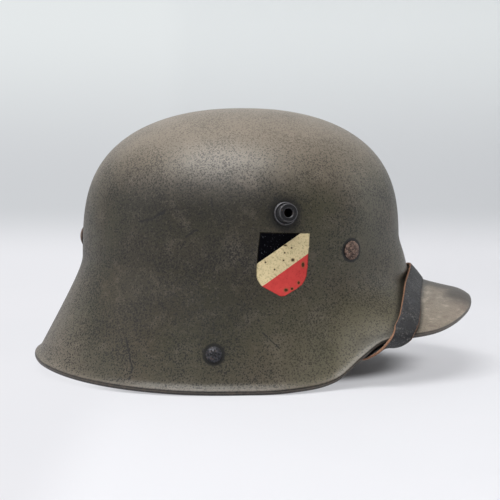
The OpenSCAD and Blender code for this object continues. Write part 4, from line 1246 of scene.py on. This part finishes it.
def hole(turn, x, radius, z=-12, deep=24):
    """A cutter through a strap on its straight run"""
    return turn(on_run(x, z)), turn(RUN_IN), radius, deep


class HELMET_OT_straps(bpy.types.Operator):
    """Chin strap over the visor, short strap, keeper"""

    bl_idname = "helmet.straps"
    bl_label = "Straps"

    # Rings between two points of the line, and rings on each side that even out the strap's twist
    FINE, SOFT = 10, 12

    def long_rings(self, half, thick, bead):
        """Rings and cut marks along the long strap"""
        line, rows = strap_line(thick, bead), []
        for i in range(len(line) - 1):
            for k in range(self.FINE + (i == len(line) - 2)):
                u = k / self.FINE
                middle, face, wide = through(line, i, u)
                way = through(line, i, u + 0.05)[0] - through(line, i, u - 0.05)[0]
                rows.append((middle, way.normalized(), way.cross(face).normalized(), wide))
        rings = []
        for i, (middle, way, _, wide) in enumerate(rows):
            near = rows[max(i - self.SOFT, 0):i + self.SOFT + 1]
            across = sum((row[2] for row in near), Vector()).normalized()
            out = across.cross(way).normalized()
            rings.append(strap_ring(middle, across, out, wide * half, thick))
        return rings

    def fold(self, name, reach, turn, cutters, leather, half, thick):
        """Leather folded round a bar, or on the left round two, and closed by its studs"""
        bend = EYE_IN + thick
        outline = [(bend * cosd(g), bend * sind(g)) for g in range(60, 301, 10)]
        if turn is mirrored:
            outline += [(reach + bend * cosd(g), bend * sind(g)) for g in range(-120, 121, 10)]
        else:
            outline += [(4.5, -thick), (reach - 0.6, -thick), (reach, -thick * 0.6),
                        (reach, thick * 0.6), (reach - 0.6, thick), (4.5, thick)]
        # Across the strap: place, how much the edge is rounded, and cut mark
        rows = ((-half, 0.35, 1.0), (-half + 0.4, 0.0, 0.6), (-half + 2.5, 0.0, 0.0),
                (half - 2.5, 0.0, 0.0), (half - 0.4, 0.0, 0.6), (half, 0.35, 1.0))
        points, marks = [], []
        axes = Matrix((RUN, RUN_IN.cross(RUN), RUN_IN)).transposed()
        for y, shrink, mark in rows:
            for x, z in outline:
                spot = HOOK_BAR + axes @ Vector((x, y, z - math.copysign(shrink, z)))
                points.append(turn(spot))
                marks.append(mark)
        faces = loop_faces(len(rows), len(outline), closed_rings=False, closed_size=True)
        faces += cap_faces(len(rows), len(outline))
        piece = new_piece(name, points, faces, "helmet", leather, {"cut_edge": marks},
                          smooth=False)
        cut_with(piece, cutters)
        return piece

    def keeper(self, half, thick, leather):
        """A loop round both straps, with rounded corners"""
        wide, start = half + CLEAR, SHORT - LAP - KEEPER - KEEPER_WAY
        low, high = -thick - CLEAR, 2 * thick + 2 * CLEAR
        middle, deep = (low + high) / 2, (high - low) / 2
        rows = ((0.0, 0.3), (0.35, 0.0), (KEEPER - 0.35, 0.0), (KEEPER, 0.3))
        # Outer face there and inner face back: place, growth, and how square the corners are
        sides = [(x, KEEPER_WALL - shrink, 8) for x, shrink in rows]
        sides += [(x, shrink, 14) for x, shrink in reversed(rows)]
        points, marks = [], []
        for x, grown, power in sides:
            for g in range(0, 360, 10):
                c, s = cosd(g), sind(g)
                far = 1.0 / (abs(c) ** power + abs(s) ** power) ** (1 / power)
                spot = on_run(start + x, middle + s * far * (deep + grown))
                points.append(mirrored(spot + Vector((0, 0, c * far * (wide + grown)))))
                marks.append(1.0 if x in (0.0, KEEPER) else 0.0)
        faces = loop_faces(len(sides), 36, closed_size=True)
        return new_piece("keeper_loop", points, faces, "keeper", leather, {"cut_edge": marks})

    def execute(self, context):
        s = sizes()
        half, thick, bead = s.strap_width / MM / 2, s.strap_leather / MM, s.bead / MM
        leather = strap_leather()
        rings = self.long_rings(half, thick, bead)
        points, marks = ([one for ring in rings for one in ring[k]] for k in (0, 1))
        size = len(points) // len(rings)
        faces = loop_faces(len(rings), size, closed_rings=False, closed_size=True)
        faces += cap_faces(len(rings), size)
        strap = new_piece("chin_strap", points, faces, "helmet", leather, {"cut_edge": marks})
        slot = [hole(mirrored, SHORT + x, 1.9) for x in (-1, 1.5, 4, 6.5, 9)]
        holes = [hole(mirrored, SHORT - TIP + 4 + 7 * k, 1.4, 1, 10) for k in (1, 2)]
        cut_with(strap, slot + holes)
        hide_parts("long_strap")
        cuts = [eye(HOOK_BAR, EYE_IN)] + [hole(Vector, x, 1.6) for x in (13, 23)]
        right = self.fold("strap_fold", 30, Vector, cuts, leather, half, thick)
        cuts = [eye(mirrored(HOOK_BAR), EYE_IN), eye(mirrored(on_run(SHORT, 0)), 1.3),
                hole(mirrored, 9.5, 1.6)]
        cuts += [hole(mirrored, SHORT + x, 1.8) for x in (-0.6, 1.6, 3.8)]
        short = self.fold("buckle_strap", SHORT, mirrored, cuts, leather, half, thick)
        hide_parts("short_strap")
        keeper = self.keeper(half, thick, leather)
        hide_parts("strap_keeper")
        return {"FINISHED"}


class HELMET_OT_fittings(bpy.types.Operator):
    """Strap rivets, lugs, hooks, studs and buckle"""

    bl_idname = "helmet.fittings"
    bl_label = "Strap fittings"

    # Height, radius and width of the bright edge
    RINGS = ((-8.0, 3.9, 0.8),)

    def execute(self, context):
        repaint(["lug_rivet_right", "lug_rivet_left"], rivet_steel())
        for side, turn in SIDES:
            repaint([f"strap_lug_{side}"],
                    lug_steel(f"strap_lug_steel_{side}", turn(RIVET), turn(RIVET_OUT), self.RINGS))
        repaint(["strap_hook_right", "strap_hook_left", "strap_studs", "buckle_frame",
                 "buckle_roller", "buckle_prong"], dull_metal())
        return {"FINISHED"}


class HELMET_PT_panel(bpy.types.Panel):
    """Buttons that make each group of the helmet's pieces"""

    bl_idname = "HELMET_PT_panel"
    bl_label = "Steel Helmet"
    bl_space_type = "VIEW_3D"
    bl_region_type = "UI"
    bl_category = "Helmet"

    def draw(self, context):
        for group in (context.scene.helmet_sizes, context.scene.helmet_colours):
            box = self.layout.box()
            for name in group.__annotations__:
                box.prop(group, name)
        for step in STEPS:
            self.layout.operator(step.bl_idname)


STEPS = (HELMET_OT_stage, HELMET_OT_shell, HELMET_OT_shield, HELMET_OT_vent_lugs, HELMET_OT_pins,
         HELMET_OT_bands, HELMET_OT_springs, HELMET_OT_leather, HELMET_OT_drawstring,
         HELMET_OT_straps, HELMET_OT_fittings)
CLASSES = (HelmetSizes, HelmetColours, *STEPS, HELMET_PT_panel)


def register():
    for cls in CLASSES:
        bpy.utils.register_class(cls)
    bpy.types.Scene.helmet_sizes = bpy.props.PointerProperty(type=HelmetSizes)
    bpy.types.Scene.helmet_colours = bpy.props.PointerProperty(type=HelmetColours)


def unregister():
    del bpy.types.Scene.helmet_colours
    del bpy.types.Scene.helmet_sizes
    for cls in reversed(CLASSES):
        bpy.utils.unregister_class(cls)


def main():
    register()
    for step in STEPS:
        group, name = step.bl_idname.split(".")
        getattr(getattr(bpy.ops, group), name)()


if __name__ == "__main__":
    main()
